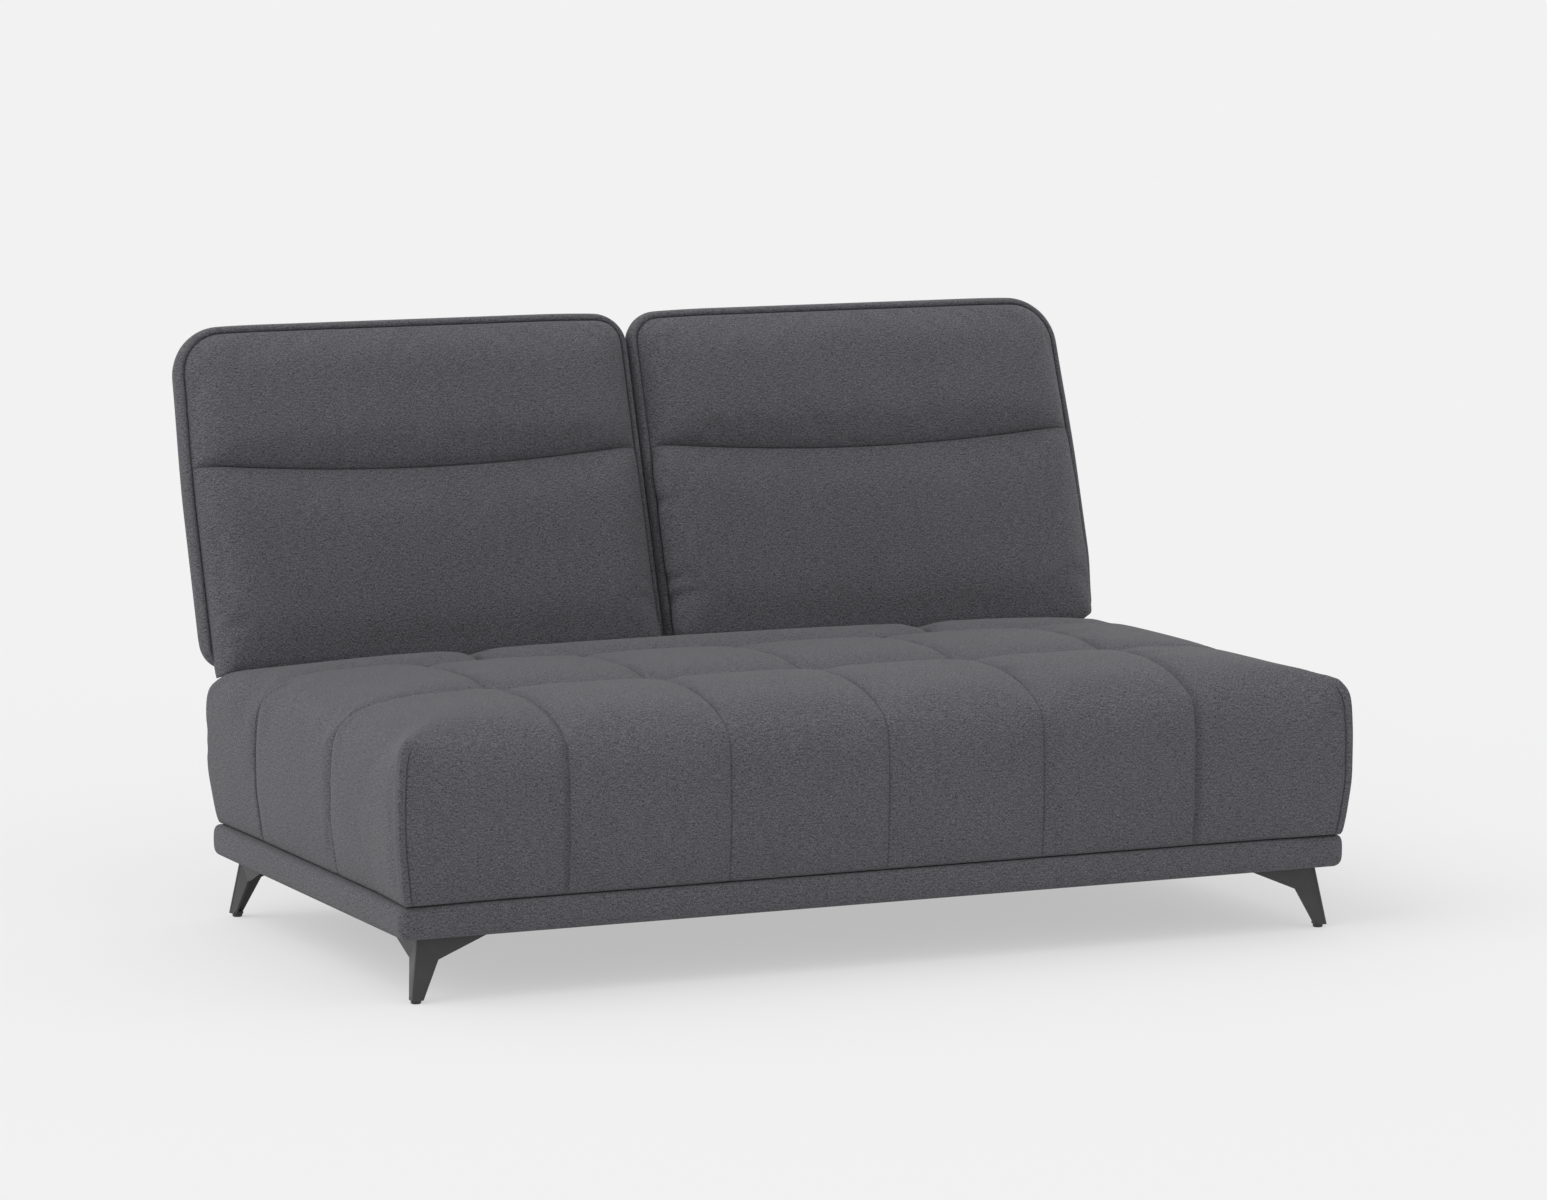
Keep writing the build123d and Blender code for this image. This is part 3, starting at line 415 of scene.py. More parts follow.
def seat_cover():
    """Cover of rows one and two: over the front and both ends, down to the plinth."""
    across, deep, high = 108, 42, 20
    bm = gridded_box(across, deep, high)
    crease = bm.edges.layers.float.new("crease_edge")
    spots = {}
    for v in bm.verts:
        a, b, c = v.co
        i, j, k = round(a * across), round(b * deep), round(c * high)
        spots[v.index] = (i, j, k)
        x, y = column_place(i), row_place(b)
        end = i in (0, across)
        front, rear = j == 0, j == deep
        top = seat_height(x, y)
        ears = 0.009 * ear(x, y)
        if k == high:
            v.co = (x + math.copysign(ears, x), FRONT + y - 0.8 * ears, top)
            continue
        if k > 0 or end or front:
            low = SEAT_BASE if (end or front) else DECK
            if rear and not end:
                low = DECK if 1 < i < across - 1 else SEAT_BASE
            z = low + (top - low) * c
            c = (z - SEAT_BASE) / (top - SEAT_BASE)
            swell = side_swell(x, y, c)
            stand = side_stand(c) + 0.012
            from_end = RIM - abs(x)
            if front:
                y -= front_stand(c) + 0.002 + swell + 0.8 * ears * c ** 4
                if not end:
                    out = (stand + swell) * (1 - ease(0.02, 0.12, from_end))
                    x += math.copysign(out + ears * c ** 4, x)
                    flap = ease(0.0, 0.002, from_end) * (1 - ease(0.0104, 0.0114, from_end))
                    y -= 0.0016 * flap * (1 - ease(0.93, 1.0, c))
                    y += 0.0020 * groove(from_end - 0.0116, 0.0014) * (1 - ease(0.95, 1.0, c))
            if end:
                x += math.copysign(stand + swell + ears * c ** 4, x)
                if not front:
                    y -= (front_stand(c) + 0.002 + 0.005) * (1 - ease(0.0, 0.10, y))
            if rear:
                lean = COVER_LEAN * (1 - ease(HALF - 0.06, HALF - 0.02, abs(x)))
                y -= (top - z) * lean
            v.co = (x, FRONT + y, z)
            continue
        # underneath: a skirt that hangs in front of the seat box, then the deck
        x = math.copysign(min(abs(x), HALF - 0.013), x)
        y = max(y - COVER_LEAN * (ROW_SEAM - DECK) * b ** 2, 0.013)
        hangs = i == 1 or i == across - 1 or j == 1
        if i in (1, across - 1):
            x = math.copysign(HALF - SKIRT, x)
        if j == 1:
            y = SKIRT
        v.co = (x, FRONT + y, SEAT_BASE if hangs else DECK)
    for edge in bm.edges:
        (i, j, k), (i2, j2, k2) = (spots[v.index] for v in edge.verts)
        if i == i2 and j == j2 and i in (0, across) and j == 0:
            edge[crease] = 0.85
        on_seam = i == i2 and i % 18 == 0 and 0 < i < across and (max(k, k2) == high or j == j2 == 0)
        on_row = j == j2 == 20 and (max(k, k2) == high or i in (0, across) and i == i2)
        if on_seam or on_row:
            edge[crease] = 0.9
    held, lines = [], []                             # how firmly points are held, how much painted shade their seams get
    for v in bm.verts:
        i, j, k = spots[v.index]
        x, y, z = v.co
        y -= FRONT
        low = min(1.0, max(0.0, 1 - (z - SEAT_BASE) / 0.03)) if k > 0 else 1.0
        across_seam = min((x + HALF) % COLUMN, COLUMN - (x + HALF) % COLUMN) if abs(x) < HALF - 0.2 else 1.0
        row_seam = min(abs(y - ROW_A), ROW_B - y) if y > 0.1 else 1.0
        if j == 0 and k < high:
            row_seam = 1.0
        if i in (0, across) and k < high:
            across_seam = 1.0
        corner = RIM - abs(column_place(i)) if j == 0 else abs(y) if i in (0, across) else 1.0
        seam = min(across_seam, abs(row_seam), max(0.0, corner - 0.013))
        held.append(1.0 if j == deep else max(low, 1 - ease(0.003, 0.012, seam)))
        # Painted shade along the seams, the corner welt's fold and the creases between the rows.
        line = 0.0
        if (k == high or j == 0) and k > 0 and i % 18 == 0 and 0 < i < across:
            line = 0.45
        if j in (20, deep) and (k == high or i in (0, across) and k > 0):
            line = max(line, 0.45)
        if j == 0 and i in (4, across - 4) and 0 < k < high:
            line = 0.85
        if j == 1 and i in (0, across) and 0 < k < high:
            line = 0.4
        lines.append(line)
    sewn(bm, lines)
    flat_map(bm, SEAT_CLOTH)
    nodes = ("seat_cushion", "border_front", "border_left", "border_right")
    finished(bm, "seat_cover", "base", nodes, held=held, reach=0.0032)


def third_row_pad(name, left, right, nodes):
    """One pad of the seat's third row, with rolled edges beside the slits."""
    across = max(12, round((right - left) / 0.0148))
    deep, high = 16, 20
    bm = gridded_box(across, deep, high)
    ends = (left <= -HALF, right >= HALF)

    def place_x(a):
        lo = -RIM if ends[0] else left
        hi = RIM if ends[1] else right
        return lo + (hi - lo) * eased(a, 0.7)

    def height(x, y):
        crown = 0.0052 * (1 - (x / 0.60) ** 2) * (1 - ease(0.70, 0.84, y)) * ease(ROW_B, 0.68, y)
        drop = 0.0036 * ease(0.52, 0.75, abs(x))
        edge = 0.0
        for at, is_end in ((left, ends[0]), (right, ends[1])):
            if not is_end:
                d = abs(x - at)
                edge += 0.009 * (1 - ease(-0.03, 0.055, d)) + 0.004 * max(0, 1 - d / 0.012) ** 2
        top = third_rise(y) + crown - drop - edge
        inside = HALF - abs(x)
        boxy = ease(ROW_B + 0.04, ROW_B + 0.13, y)
        end = end_rise(inside) - 0.006 + 0.003 * puff((y - ROW_B) / 0.35)
        return lower_of(top, end + (rear_end_rise(inside) - end) * boxy, 0.003)

    for v in bm.verts:
        a, b, c = v.co
        i, j, k = round(a * across), round(b * deep), round(c * high)
        x = place_x(a)
        y = ROW_B + 0.0008 + (DEPTH - 0.0008 - ROW_B) * (b - 0.35 * math.sin(2 * math.pi * b) / (2 * math.pi))
        at_left, at_right = i == 0, i == across
        end = (at_left and ends[0]) or (at_right and ends[1])
        slit = (at_left and not ends[0]) or (at_right and not ends[1])
        front, rear = j == 0, j == deep
        top = height(x, y)
        if k == high:
            v.co = (x, FRONT + y, top)
            continue
        outer = end or rear
        skirted = (i == 1 and ends[0]) or (i == across - 1 and ends[1])
        low = SEAT_BASE if outer else DECK
        if k > 0 or outer:
            if front and not end:
                low = SEAT_BASE if skirted else DECK
            if slit and not rear:
                low = SEAT_BASE if j == deep - 1 else DECK
            z = low + (top - low) * c
            c = (z - SEAT_BASE) / (top - SEAT_BASE)
            stand = side_stand(c) + 0.012 + 0.005 * ease(0.55, 1.0, c) * ease(ROW_B + 0.04, ROW_B + 0.13, y)
            swell = side_swell(x, y, c)
            if end:
                x += math.copysign(stand + swell, x)
                y += (stand + swell) * ease(DEPTH - 0.10, DEPTH, y) if not rear else 0
            if rear:
                y = DEPTH + stand - 0.001 + swell
                if not end:
                    x += math.copysign((stand + swell) * ease(HALF - 0.12, RIM, abs(x)), x)
            if front:
                lean = PAD_LEAN * (1 - ease(HALF - 0.06, HALF - 0.02, abs(x)))
                y -= (top - z) * lean
            elif not rear and not end:
                y -= (top - z) * PAD_LEAN * (1 - b)
            if slit and rear and z < DECK + 0.02:
                x += math.copysign((SLIT_HALF - 0.0004) * (1 - ease(DECK - 0.01, DECK + 0.015, z)),
                                   -1 if at_left else 1)
            v.co = (x, FRONT + y, z)
            continue
        hangs = j == deep - 1 or skirted
        if skirted:
            x = math.copysign(HALF - SKIRT, x)
        x = math.copysign(min(abs(x), HALF - SKIRT), x)
        if j == deep - 1:
            y = DEPTH - SKIRT
        else:
            y = min(y, DEPTH - SKIRT) - PAD_LEAN * (ROW_SEAM - DECK) * (1 - b)
        v.co = (x, FRONT + y, SEAT_BASE if hangs else DECK)
    held, lines = [], []
    for v in bm.verts:
        x, y, z = v.co
        y -= FRONT
        # Painted shade on the pad's front wall, down in the crease behind row two.
        lines.append(0.6 if y < ROW_B + 0.001 else 0.0)
        low = 1 - (z - SEAT_BASE) / 0.03
        slit = min(1.0 if ends[0] else abs(x - left), 1.0 if ends[1] else abs(x - right))
        rim = min(abs(y - ROW_B), slit)
        held.append(min(1.0, max(low, 1 - ease(0.003, 0.014, rim), 1.0 if z < DECK + 0.001 else 0.0)))
    sewn(bm, lines)
    flat_map(bm, SEAT_CLOTH)
    finished(bm, name, "base", nodes, held=held, reach=0.003)


seat_cover()
third_row_pad("third_row_left", -HALF, -SLIT_AT - SLIT_HALF, ["rear_pad_left", "border_rear"])
third_row_pad("third_row_centre", -SLIT_AT + SLIT_HALF, SLIT_AT - SLIT_HALF, ["rear_pad_centre"])
third_row_pad("third_row_right", SLIT_AT + SLIT_HALF, HALF, ["rear_pad_right"])


# ------------------------------------------------------------------ plinth
def plinth_cover():
    """Padded band round the plinth, turned in underneath."""
    # The band's section: (inset from the plinth's outline, height above the floor).
    section = [(0.0265, 0.098), (0.018, 0.0978), (0.010, 0.0982), (0.004, 0.0995), (-0.001, 0.1025),
               (-0.0045, 0.107), (-0.006, 0.113), (-0.0064, 0.122), (-0.0064, 0.131), (-0.006, 0.139),
               (-0.0045, 0.1445), (-0.0018, 0.148), (0.0015, 0.1497), (0.0060, 0.15025), (0.0130, 0.1503),
               (0.0130, 0.1501), (0.0049, 0.15005), (0.0048, 0.140), (0.0048, 0.101), (0.015, 0.1002),
               (0.0265, 0.1002)]
    long, short, corner = 108, 56, 8
    loop = 2 * (long + short) + 4 * corner
    bm = bmesh.new()
    bmesh.ops.create_grid(bm, x_segments=loop, y_segments=len(section), size=0.5)

    def outline(step, inset):
        radius = max(0.0005, 0.008 - inset)
        half_x, half_y = HALF - inset - radius, DEPTH / 2 - inset - radius
        runs = ((long, (-half_x, -half_y - radius), (half_x, -half_y - radius), -90),
                (short, (half_x + radius, -half_y), (half_x + radius, half_y), 0),
                (long, (half_x, half_y + radius), (-half_x, half_y + radius), 90),
                (short, (-half_x - radius, half_y), (-half_x - radius, -half_y), 180))
        for count, start, end, turn in runs:
            if step <= count:
                t = step / count
                return start[0] + (end[0] - start[0]) * t, start[1] + (end[1] - start[1]) * t
            step -= count
            if step < corner:
                angle = math.radians(turn + 90 * step / corner)
                cx = math.copysign(half_x, end[0])
                cy = math.copysign(half_y, end[1])
                return cx + radius * math.cos(angle), cy + radius * math.sin(angle)
            step -= corner
        return outline(0, inset)

    closed = section + section[:1]
    for v in bm.verts:
        step = round((v.co.x + 0.5) * loop)
        inset, z = closed[round((v.co.y + 0.5) * len(section))]
        x, y = outline(step % loop, inset)
        v.co = (x, FRONT + DEPTH / 2 + y, z)
    bmesh.ops.remove_doubles(bm, verts=bm.verts, dist=1e-6)
    sewn(bm, [0.0] * len(bm.verts))
    flat_map(bm, SEAT_CLOTH)
    nodes = ("plinth_band_front", "plinth_band_rear", "plinth_band_left", "plinth_band_right")
    finished(bm, "plinth_cover", "base", nodes)


plinth_cover()


# ------------------------------------------------------------------ backrests
def back_place(centre, across, along, out):
    """A point of a backrest: across it, up its front seam, and out towards the sitter."""
    y = BACK_FOOT[0] + along * math.sin(BACK_TILT) - out * math.cos(BACK_TILT)
    z = BACK_FOOT[1] + along * math.cos(BACK_TILT) + out * math.sin(BACK_TILT)
    return Vector((centre + across, y, z))


BACK_OUT = Vector((0, -math.cos(BACK_TILT), math.sin(BACK_TILT)))
BACK_UP = Vector((0, math.sin(BACK_TILT), math.cos(BACK_TILT)))
BACK_CLOTH = [(BACK_OUT, X, BACK_UP), (X, BACK_OUT, BACK_UP), (BACK_UP, X, BACK_OUT)]


def corner_radius(x, y, inset, outer):
    """Radius of the backrest's corner nearest to a place; the outer corners are the rounder ones."""
    if y > 0:
        radius = 0.080 if x * outer > 0 else 0.052
    else:
        radius = 0.030 if x * outer > 0 else 0.004
    return max(0.003, radius - inset)


def rounded(s, t, inset, outer):
    """Maps the square from -1 to 1 on to the backrest's outline, shrunk by inset: (across, along)."""
    half_x = BACK_WIDTH / 2 - inset
    half_y = BACK_LENGTH / 2 - inset
    x, y = s * half_x, t * half_y
    radius = corner_radius(x, y, inset, outer)
    u = (abs(x) - half_x + radius) / radius
    w = (abs(y) - half_y + radius) / radius
    if u > 0 and w > 0:
        x = math.copysign(half_x - radius + radius * u * math.sqrt(1 - w * w / 2), x)
        y = math.copysign(half_y - radius + radius * w * math.sqrt(1 - u * u / 2), y)
    return x, y + BACK_LENGTH / 2


def depth_in(x, y, inset, outer):
    """Distance of a place on the backrest from its outline, shrunk by inset."""
    half_x = BACK_WIDTH / 2 - inset
    half_y = BACK_LENGTH / 2 - inset
    y -= BACK_LENGTH / 2
    radius = corner_radius(x, y, inset, outer)
    qx = abs(x) - half_x + radius
    qy = abs(y) - half_y + radius
    outside = math.hypot(max(qx, 0), max(qy, 0)) + min(max(qx, qy), 0)
    return radius - outside


def bowed(x, y, outer):
    """The stuffed backrest bows out at its outer side and sags a little at its top corners."""
    to_side = max(0.0, x * outer / (BACK_WIDTH / 2))
    start = -0.10 if outer < 0 else 0.02
    x += outer * 0.0072 * to_side ** 3 * ease(start, start + 0.10, y) * (1 - ease(0.26, 0.53, y))
    y -= 0.005 * max(0.0, (abs(x) - 0.24) / 0.16) ** 2 * (y / BACK_LENGTH) ** 4
    return x, y


def edge_weighted(t, fine):
    """Grid lines of a panel from -1 to 1, drawn in towards its edges."""
    return math.copysign(1 - (1 - abs(t)) ** fine, t) if abs(t) < 1 else t


def casing(side, centre, outer):
    """Cloth casing of a backrest: rounded rear edges, a rolled border and the recess for the pad."""
    across, tall, deep = 60, 44, 16
    bm = gridded_box(across, tall, deep)
    # The edge's section from the recess round to the rear: (inset, height above the front seam).
    edge = [(0.0130, -0.008), (0.0124, -0.0025), (0.0112, 0.0012), (0.0085, 0.0034), (0.0050, 0.0030),
            (0.0022, 0.0006), (0.0002, -0.0032), (-0.0018, -0.0080), (-0.00292, -0.0130), (-0.0026, -0.0180)]
    for k in range(7):
        angle = math.radians(15 * k)
        edge.append((0.018 - 0.0202 * math.cos(angle), -0.018 - 0.018 * math.sin(angle)))
    lines = []
    for v in bm.verts:
        a, b, c = v.co
        i, j, k = round(a * across), round(b * tall), round(c * deep)
        s = edge_weighted(2 * a - 1, 1.25)
        t = edge_weighted(2 * b - 1, 1.25)
        on_edge = i in (0, across) or j in (0, tall)
        if on_edge:
            inset, out = edge[deep - k]
            x, y = rounded(s, t, inset, outer)
        elif k == deep:
            x, y = rounded(s, t, edge[0][0], outer)
            out = -0.010
        else:
            inset = edge[deep][0]
            x, y = rounded(s, t, inset, outer)
            out = edge[deep][1] - 0.0012 - 0.0015 * puff(min(1, depth_in(x, y, inset, outer) / 0.3) / 2, 1)
        if out < -0.003:
            sweep = 0.052 * (max(0, -0.003 - out) / 0.033) ** 1.5
            y += sweep * max(0.0, 1 - y / 0.20)
        v.co = back_place(centre, *bowed(x, y, outer), out)
        # Painted shade in the recess under the pad and along the seams round the casing's edge.
        lines.append(0.9 if k == deep or on_edge and k == deep - 1 else 0.45 if on_edge and k == 1 else 0.0)
    sewn(bm, lines)
    flat_map(bm, BACK_CLOTH)
    finished(bm, "casing_" + side, "backrest_" + side, ["back_cover_" + side])


def channel_at(x):
    """Height of the drooping channel at a place across the backrest."""
    u = x / (BACK_WIDTH / 2)
    return 0.337 - 0.023 * (1 - u * u) - 0.007 * max(0.0, (abs(u) - 0.86) / 0.14) ** 2


# Small folds where the pads are gathered: (side, at the right edge, height, slope, depth, length)
GATHERS = [("right", False, 0.030, 0.10, 0.0060, 0.022), ("right", False, 0.066, 0.25, 0.0075, 0.026),
           ("right", False, 0.100, 0.10, 0.0060, 0.020), ("right", False, 0.236, -0.20, 0.0045, 0.022),
           ("right", False, 0.352, 0.55, 0.0030, 0.028), ("right", False, 0.366, 0.90, 0.0024, 0.030),
           ("right", True, 0.348, 0.45, 0.0022, 0.022), ("left", True, 0.350, 0.50, 0.0026, 0.024),
           ("left", False, 0.350, 0.50, 0.0024, 0.026), ("left", True, 0.052, 0.60, 0.0022, 0.020)]


def side_roll(side, right_edge, y):
    """How far the lower pad rolls out over its border at one of its edges, at a height."""
    if side == "left":
        return 0.008 * (1 - ease(0.02, 0.09, y)) if right_edge else 0.005 * (1 - ease(0.02, 0.09, y))
    if right_edge:
        return 0.004 * (1 - ease(0.05, 0.16, y)) + 0.003 * (1 - ease(0.2, 0.3, y))
    return 0.0185 * (1 - ease(0.28, 0.34, y))


def hang_at(x):
    """How far the lower pad rolls down on to the seat, across the sofa: deeper beside the slits."""
    x = abs(x)
    by_slit = math.exp(-((x - SLIT_AT) / 0.056) ** 2)
    return 0.0390 + 0.0030 * ease(0.42, 0.78, x) + 0.0088 * by_slit


def front_pad(side, centre, outer):
    """Front pad of a backrest: a lower and an upper pad that meet in a drooping sewn channel."""
    across, tall, deep = 72, 74, 3
    bm = gridded_box(across, tall, deep)
    inset = PAD_INSET
    lower_rows = 45
    foot, top = inset, BACK_LENGTH - inset
    held, lines = [], []
    for v in bm.verts:
        a, b, c = v.co
        i, j, k = round(a * across), round(b * tall), round(c * deep)
        # Painted shade on the pad's sides and back down in the recess, a little less along its channel.
        lines.append(0.9 if k < deep else 0.7 if j == lower_rows else 0.0)
        s = edge_weighted(2 * a - 1, 1.7)
        if j <= lower_rows:
            u = j / lower_rows
            y = foot + (CHANNEL - foot) * (u - 0.62 * math.sin(2 * math.pi * u) / (2 * math.pi))
        else:
            u = (j - lower_rows) / (tall - lower_rows)
            y = CHANNEL + (top - CHANNEL) * (u - 0.78 * math.sin(2 * math.pi * u) / (2 * math.pi))
        t = (y - BACK_LENGTH / 2) / (BACK_LENGTH / 2 - inset)
        x, y = rounded(s, max(-1, min(1, t)), inset, outer)
        warp = channel_at(x) - CHANNEL
        y += warp * (ease(foot, CHANNEL, y) if y < CHANNEL else 1 - ease(CHANNEL, top, y))
        if k < deep:
            out = -0.007 + 0.0055 * k / deep
            v.co = back_place(centre, *bowed(x, y, outer), out)
            held.append(1.0)
            continue
        seam = channel_at(x)
        d = max(0.0, depth_in(x, y, inset, outer))
        upper = ease(-0.01, 0.03, y - seam)
        rim = (1 - (1 - min(1, d / (0.085 + 0.02 * upper))) ** 3) ** (0.55 + 0.17 * upper)
        full = 0.042 * rim
        gap = y - seam
        side_gap = BACK_WIDTH / 2 - inset - abs(x)
        fold = pinch = 0.0
        for where, right_edge, height, slope, deepness, reach in GATHERS:
            if where == side and right_edge == (x > 0) and side_gap < 3 * reach:
                off = (y - height - slope * side_gap) / 0.0062
                here = math.exp(-off * off) * math.exp(-side_gap / reach)
                fold += deepness * here * min(1.0, d / 0.004)
                pinch += here
        if gap < 0:
            dip = 0.026 * math.exp(-(-gap / 0.019) ** 0.85)
            full *= 1.0 + 0.04 * math.sin(math.pi * min(1, y / seam))
            roll = side_roll(side, x > 0, y) * (1 - 0.8 * min(1.0, pinch))
            roll *= (1 - math.exp(-side_gap / 0.004)) * (1 - ease(0.008, 0.055, side_gap))
            x += math.copysign(roll, x)
            rise = y - foot
            hang = hang_at(centre + x) * (1 - math.exp(-rise / 0.004)) * (1 - ease(0.010, 0.062, rise))
            if side == "right" and x > 0:
                hang *= 1 - 0.55 * (1 - ease(0.0, 0.045, side_gap))
            y -= hang
        else:
            dip = 0.028 * math.exp(-(gap / 0.017) ** 1.5)
            full *= 1.03 - 0.20 * ease(0.03, 0.24, gap)
            y -= 0.010 * math.exp(-((gap - 0.014) / 0.012) ** 2) * rim
        out = max(full - dip * rim - fold, 0.0)
        v.co = back_place(centre, *bowed(x, y, outer), out)
        held.append(1 - min(ease(0.002, 0.010, d), ease(0.002, 0.010, abs(gap)), ease(0.0, 0.03, y - foot)))
    sewn(bm, lines)
    flat_map(bm, BACK_CLOTH)
    finished(bm, "front_pad_" + side, "backrest_" + side, ["back_pad_" + side],
             held=held, reach=0.006)


for side, outer in (("left", -1), ("right", 1)):
    centre = outer * (BACK_GAP + BACK_WIDTH / 2)
    casing(side, centre, outer)
    front_pad(side, centre, outer)


# ------------------------------------------------------------------ finishes of the frame parts
def noise_of(f, place, scale, detail=3.0, stretch=(1.0, 1.0, 1.0)):
    """Noise about zero, with its features drawn out or pressed together along the axes."""
    drawn = f.node("ShaderNodeMapping", {"vector_type": "POINT"}, i0=place, Scale=stretch)
    return f.node("ShaderNodeTexNoise", i0=drawn, Scale=scale, Detail=detail) - 0.5


def between(f, tone, dark, light):
    """A colour between two, by a tone about zero."""
    share = f.node("ShaderNodeClamp", i0=tone + 0.5)
    return f.node("ShaderNodeMix", {"data_type": "RGBA"}, 2, i0=share, i6=(*dark, 1), i7=(*light, 1))


def axis_of(f, place, axis):
    """One coordinate of a place."""
    return f.node("ShaderNodeSeparateXYZ", None, axis, i0=place)


def planed_timber(axis):
    """Softwood with its grain along one axis: growth rings, pores and a few darker streaks."""
    f = Finish("planed softwood " + "xyz"[axis])
    place = f.node("ShaderNodeTexCoord", output="Object")
    stretch = tuple(0.06 if k == axis else 1.0 for k in range(3))
    wander = noise_of(f, place, 14.0, 2.0, stretch)
    ring = noise_of(f, place, 26.0, 2.0, stretch)
    rings = (ring * 55.0 + wander * 6.0).math("SINE")
    pores = noise_of(f, place, 900.0, 2.0, tuple(0.03 if k == axis else 1.0 for k in range(3)))
    colour = between(f, rings * 0.28 + pores * 0.8 + wander * 0.8, (0.36, 0.22, 0.105), (0.66, 0.47, 0.27))
    bump = f.node("ShaderNodeBump", Strength=0.25, Distance=0.0004, Height=rings * 0.3 + pores)
    f.set(Base_Color=colour, Roughness=0.62 + pores * 0.25, Normal=bump)
    return f.material


def birch_plywood(axis):
    """Plywood board whose thickness runs along one axis: plies on its edges, flat grain on its faces."""
    f = Finish("birch plywood " + "xyz"[axis])
    place = f.node("ShaderNodeTexCoord", output="Object")
    plies = (axis_of(f, place, axis) * (2 * math.pi / 0.0026)).math("SINE")
    figure = noise_of(f, place, 30.0, 3.0, (0.12, 1.0, 1.0) if axis else (1.0, 0.12, 1.0))
    fleck = noise_of(f, place, 700.0, 2.0, (0.08, 1.0, 1.0) if axis else (1.0, 0.08, 1.0))
    colour = between(f, plies * 0.22 + figure * 1.1 + fleck * 0.6, (0.40, 0.27, 0.14), (0.70, 0.55, 0.37))
    bump = f.node("ShaderNodeBump", Strength=0.2, Distance=0.0003, Height=fleck + plies * 0.3)
    f.set(Base_Color=colour, Roughness=0.58 + fleck * 0.2, Normal=bump)
    return f.material


def elastic_webbing():
    """Jute-coloured elastic webbing with its ribs and picks."""
    f = Finish("elastic webbing")
    place = f.node("ShaderNodeTexCoord", output="Object")
    ribs = (axis_of(f, place, 0) * (2 * math.pi / 0.0028)).math("SINE")
    picks = (axis_of(f, place, 1) * (2 * math.pi / 0.0028)).math("SINE")
    fuzz = noise_of(f, place, 300.0)
    colour = between(f, ribs * 0.2 + picks * 0.2 + fuzz * 0.9, (0.17, 0.125, 0.075), (0.40, 0.32, 0.21))
    bump = f.node("ShaderNodeBump", Strength=0.6, Distance=0.0006, Height=ribs * picks)
    f.set(Base_Color=colour, Roughness=0.85, Normal=bump)
    return f.material


def pressed_felt():
    """Grey pressed felt: crossed fibres and flecks of other shades."""
    f = Finish("pressed felt")
    place = f.node("ShaderNodeTexCoord", output="Object")
    fibre = noise_of(f, place, 220.0, 4.0, (1.0, 0.3, 1.0)) + noise_of(f, place, 260.0, 4.0, (0.3, 1.0, 1.0))
    fleck = noise_of(f, place, 70.0, 1.0)
    colour = between(f, fibre * 0.9 + fleck * 0.9, (0.20, 0.20, 0.21), (0.56, 0.55, 0.53))
    bump = f.node("ShaderNodeBump", Strength=0.7, Distance=0.0010, Height=fibre)
    f.set(Base_Color=colour, Roughness=0.96, Normal=bump)
    return f.material


def bonded_lining():
    """Black bonded lining with its grid of small welded dots."""
    f = Finish("black bonded lining")
    place = f.node("ShaderNodeTexCoord", output="Object")
    dots = (axis_of(f, place, 0) * (2 * math.pi / 0.003)).math("SINE")
    dots = dots * (axis_of(f, place, 1) * (2 * math.pi / 0.003)).math("SINE")
    fibre = noise_of(f, place, 400.0, 3.0)
    colour = between(f, dots * 0.25 + fibre, (0.010, 0.010, 0.011), (0.042, 0.042, 0.044))
    bump = f.node("ShaderNodeBump", Strength=0.5, Distance=0.0004, Height=dots + fibre)
    f.set(Base_Color=colour, Roughness=0.9, Normal=bump)
    return f.material


def powder_coat():
    """Black powder coat: fine orange peel, dusty shifts of gloss and a few rubbed spots."""
    f = Finish("black powder coat")
    place = f.node("ShaderNodeTexCoord", output="Object")
    peel = noise_of(f, place, 850.0, 2.0)
    rubbed = noise_of(f, place, 38.0, 4.0)
    colour = between(f, peel * 0.5 + rubbed * 1.2, (0.030, 0.030, 0.032), (0.056, 0.056, 0.058))
    bump = f.node("ShaderNodeBump", Strength=0.25, Distance=0.0003, Height=peel)
    f.set(Base_Color=colour, Roughness=0.44 + rubbed * 0.35, Normal=bump, Specular_IOR_Level=0.4)
    return f.material


def zinc_plate():
    """Zinc plated steel: cloudy crystals, rolling lines and dull patches."""
    f = Finish("zinc plated steel")
    place = f.node("ShaderNodeTexCoord", output="Object")
    crystals = f.node("ShaderNodeTexVoronoi", output="Distance", i0=place, Scale=160.0) - 0.4
    rolled = noise_of(f, place, 500.0, 2.0, (1.0, 0.04, 1.0))
    dull = noise_of(f, place, 30.0, 4.0)
    colour = between(f, crystals * 0.5 + dull * 1.2, (0.42, 0.44, 0.46), (0.68, 0.69, 0.69))
    bump = f.node("ShaderNodeBump", Strength=0.12, Distance=0.0002, Height=rolled)
    f.set(Base_Color=colour, Roughness=0.36 + dull * 0.35 + rolled * 0.1, Metallic=1.0, Normal=bump)
    return f.material


def moulded(name, dark, light, roughness, grain):
    """Moulded plastic or rubber with a fine spark-eroded grain."""
    f = Finish(name)
    place = f.node("ShaderNodeTexCoord", output="Object")
    sparks = noise_of(f, place, grain, 2.0)
    smear = noise_of(f, place, 45.0, 3.0)
    bump = f.node("ShaderNodeBump", Strength=0.3, Distance=0.0003, Height=sparks)
    colour = between(f, sparks * 0.6 + smear, dark, light)
    f.set(Base_Color=colour, Roughness=roughness + smear * 0.3, Normal=bump)
    return f.material


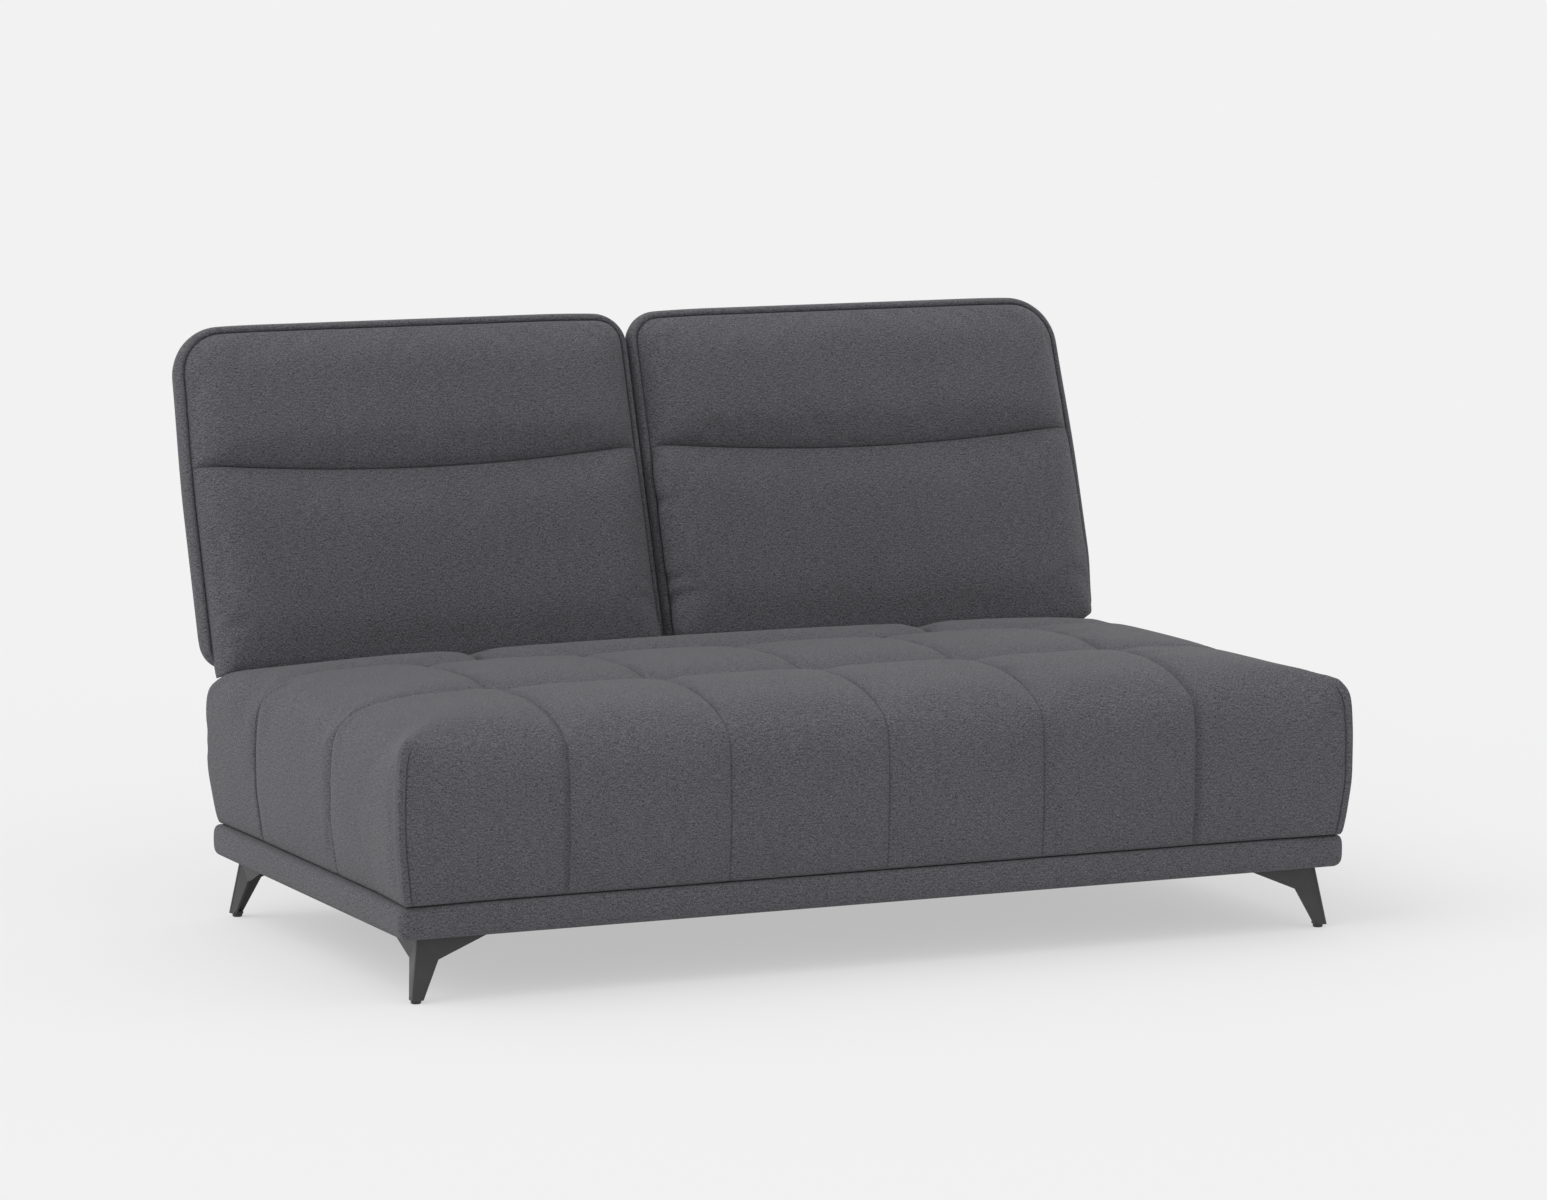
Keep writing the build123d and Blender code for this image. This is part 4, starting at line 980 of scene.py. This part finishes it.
timbers = [planed_timber(axis) for axis in range(3)]
plywoods = [birch_plywood(axis) for axis in range(3)]
slots = {
    "lining": bonded_lining(),
    "webbing": elastic_webbing(),
    "felt": pressed_felt(),
    "leg_metal": powder_coat(),
    "bright_steel": zinc_plate(),
    "nylon": moulded("black nylon", (0.018, 0.018, 0.019), (0.045, 0.045, 0.046), 0.5, 1400.0),
    "stop_rubber": moulded("stop rubber", (0.014, 0.014, 0.014), (0.036, 0.035, 0.034), 0.82, 700.0),
    "upholstery": CLOTH,
}
for row in frame["record"]["subparts"]:
    part = frame["nodes"][row["node"]]
    low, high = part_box(row["node"])
    sides = [high[k] - low[k] for k in range(3)]
    part.data.materials.clear()
    if row["material_slot"] == "timber":
        part.data.materials.append(timbers[sides.index(max(sides))])
    elif row["material_slot"] == "plywood":
        part.data.materials.append(plywoods[sides.index(min(sides))])
    else:
        part.data.materials.append(slots[row["material_slot"]])


# ------------------------------------------------------------------ studio
PALE = (0.896, 0.896, 0.896, 1)                      # shade of the floor and the room in the picture
CAMERA_AT = (-4.0418, -8.4995 + FRONT, 1.7899)
CAMERA_TURN, CAMERA_DIP = math.radians(24.36), math.radians(7.38)
CAMERA_LENS = 36.0 * 6180 / 1547                     # for a picture 1547 pixels wide


def studio():
    """Pale floor, soft light from the upper left and the photograph's camera."""
    scene = bpy.context.scene
    scene.view_settings.view_transform = "Standard"
    bm = bmesh.new()
    bmesh.ops.create_grid(bm, x_segments=1, y_segments=1, size=150)
    mesh = bpy.data.meshes.new("floor")
    bm.to_mesh(mesh)
    bm.free()
    floor = bpy.data.objects.new("floor", mesh)
    scene.collection.objects.link(floor)
    f = Finish("pale floor")
    f.set(Base_Color=(0.82, 0.82, 0.82, 1), Roughness=0.95, Specular_IOR_Level=0.0)
    rays = [f.node("ShaderNodeLightPath", output=name) for name in
            ("Is Camera Ray", "Is Glossy Ray", "Is Transmission Ray")]
    pale = f.tree.nodes.new("ShaderNodeEmission")
    pale.inputs["Color"].default_value = PALE
    both = f.tree.nodes.new("ShaderNodeMixShader")
    f.feed(both.inputs[0], (rays[0] + rays[1] + rays[2]) * 0.54)
    f.tree.links.new(f.shader.outputs[0], both.inputs[1])
    f.tree.links.new(pale.outputs[0], both.inputs[2])
    f.tree.links.new(both.outputs[0], f.out.inputs["Surface"])
    floor.data.materials.append(f.material)

    world = bpy.data.worlds.new("pale room")
    world.use_nodes = True
    scene.world = world
    tree = world.node_tree
    room = tree.nodes["Background"]
    room.inputs["Color"].default_value = (1, 1, 1, 1)
    room.inputs["Strength"].default_value = 0.84
    seen = tree.nodes.new("ShaderNodeBackground")
    seen.inputs["Color"].default_value = PALE
    path = tree.nodes.new("ShaderNodeLightPath")
    choose = tree.nodes.new("ShaderNodeMixShader")
    tree.links.new(path.outputs["Is Camera Ray"], choose.inputs[0])
    tree.links.new(room.outputs[0], choose.inputs[1])
    tree.links.new(seen.outputs[0], choose.inputs[2])
    tree.links.new(choose.outputs[0], tree.nodes["World Output"].inputs["Surface"])

    data = bpy.data.lights.new("key", "SUN")
    data.energy = 1.0
    data.angle = math.radians(50)
    lamp = bpy.data.objects.new("key", data)
    scene.collection.objects.link(lamp)
    lamp.rotation_euler = Vector((0.68, 0.0, -0.73)).to_track_quat("-Z", "Y").to_euler()

    data = bpy.data.cameras.new("view")
    data.sensor_fit = "HORIZONTAL"
    data.sensor_width = 36.0
    data.lens = CAMERA_LENS
    camera = bpy.data.objects.new("view", data)
    scene.collection.objects.link(camera)
    camera.location = CAMERA_AT
    level = math.cos(CAMERA_DIP)
    ahead = Vector((math.sin(CAMERA_TURN) * level, math.cos(CAMERA_TURN) * level, -math.sin(CAMERA_DIP)))
    camera.rotation_euler = ahead.to_track_quat("-Z", "Y").to_euler()
    data.clip_end = 400
    scene.camera = camera


studio()
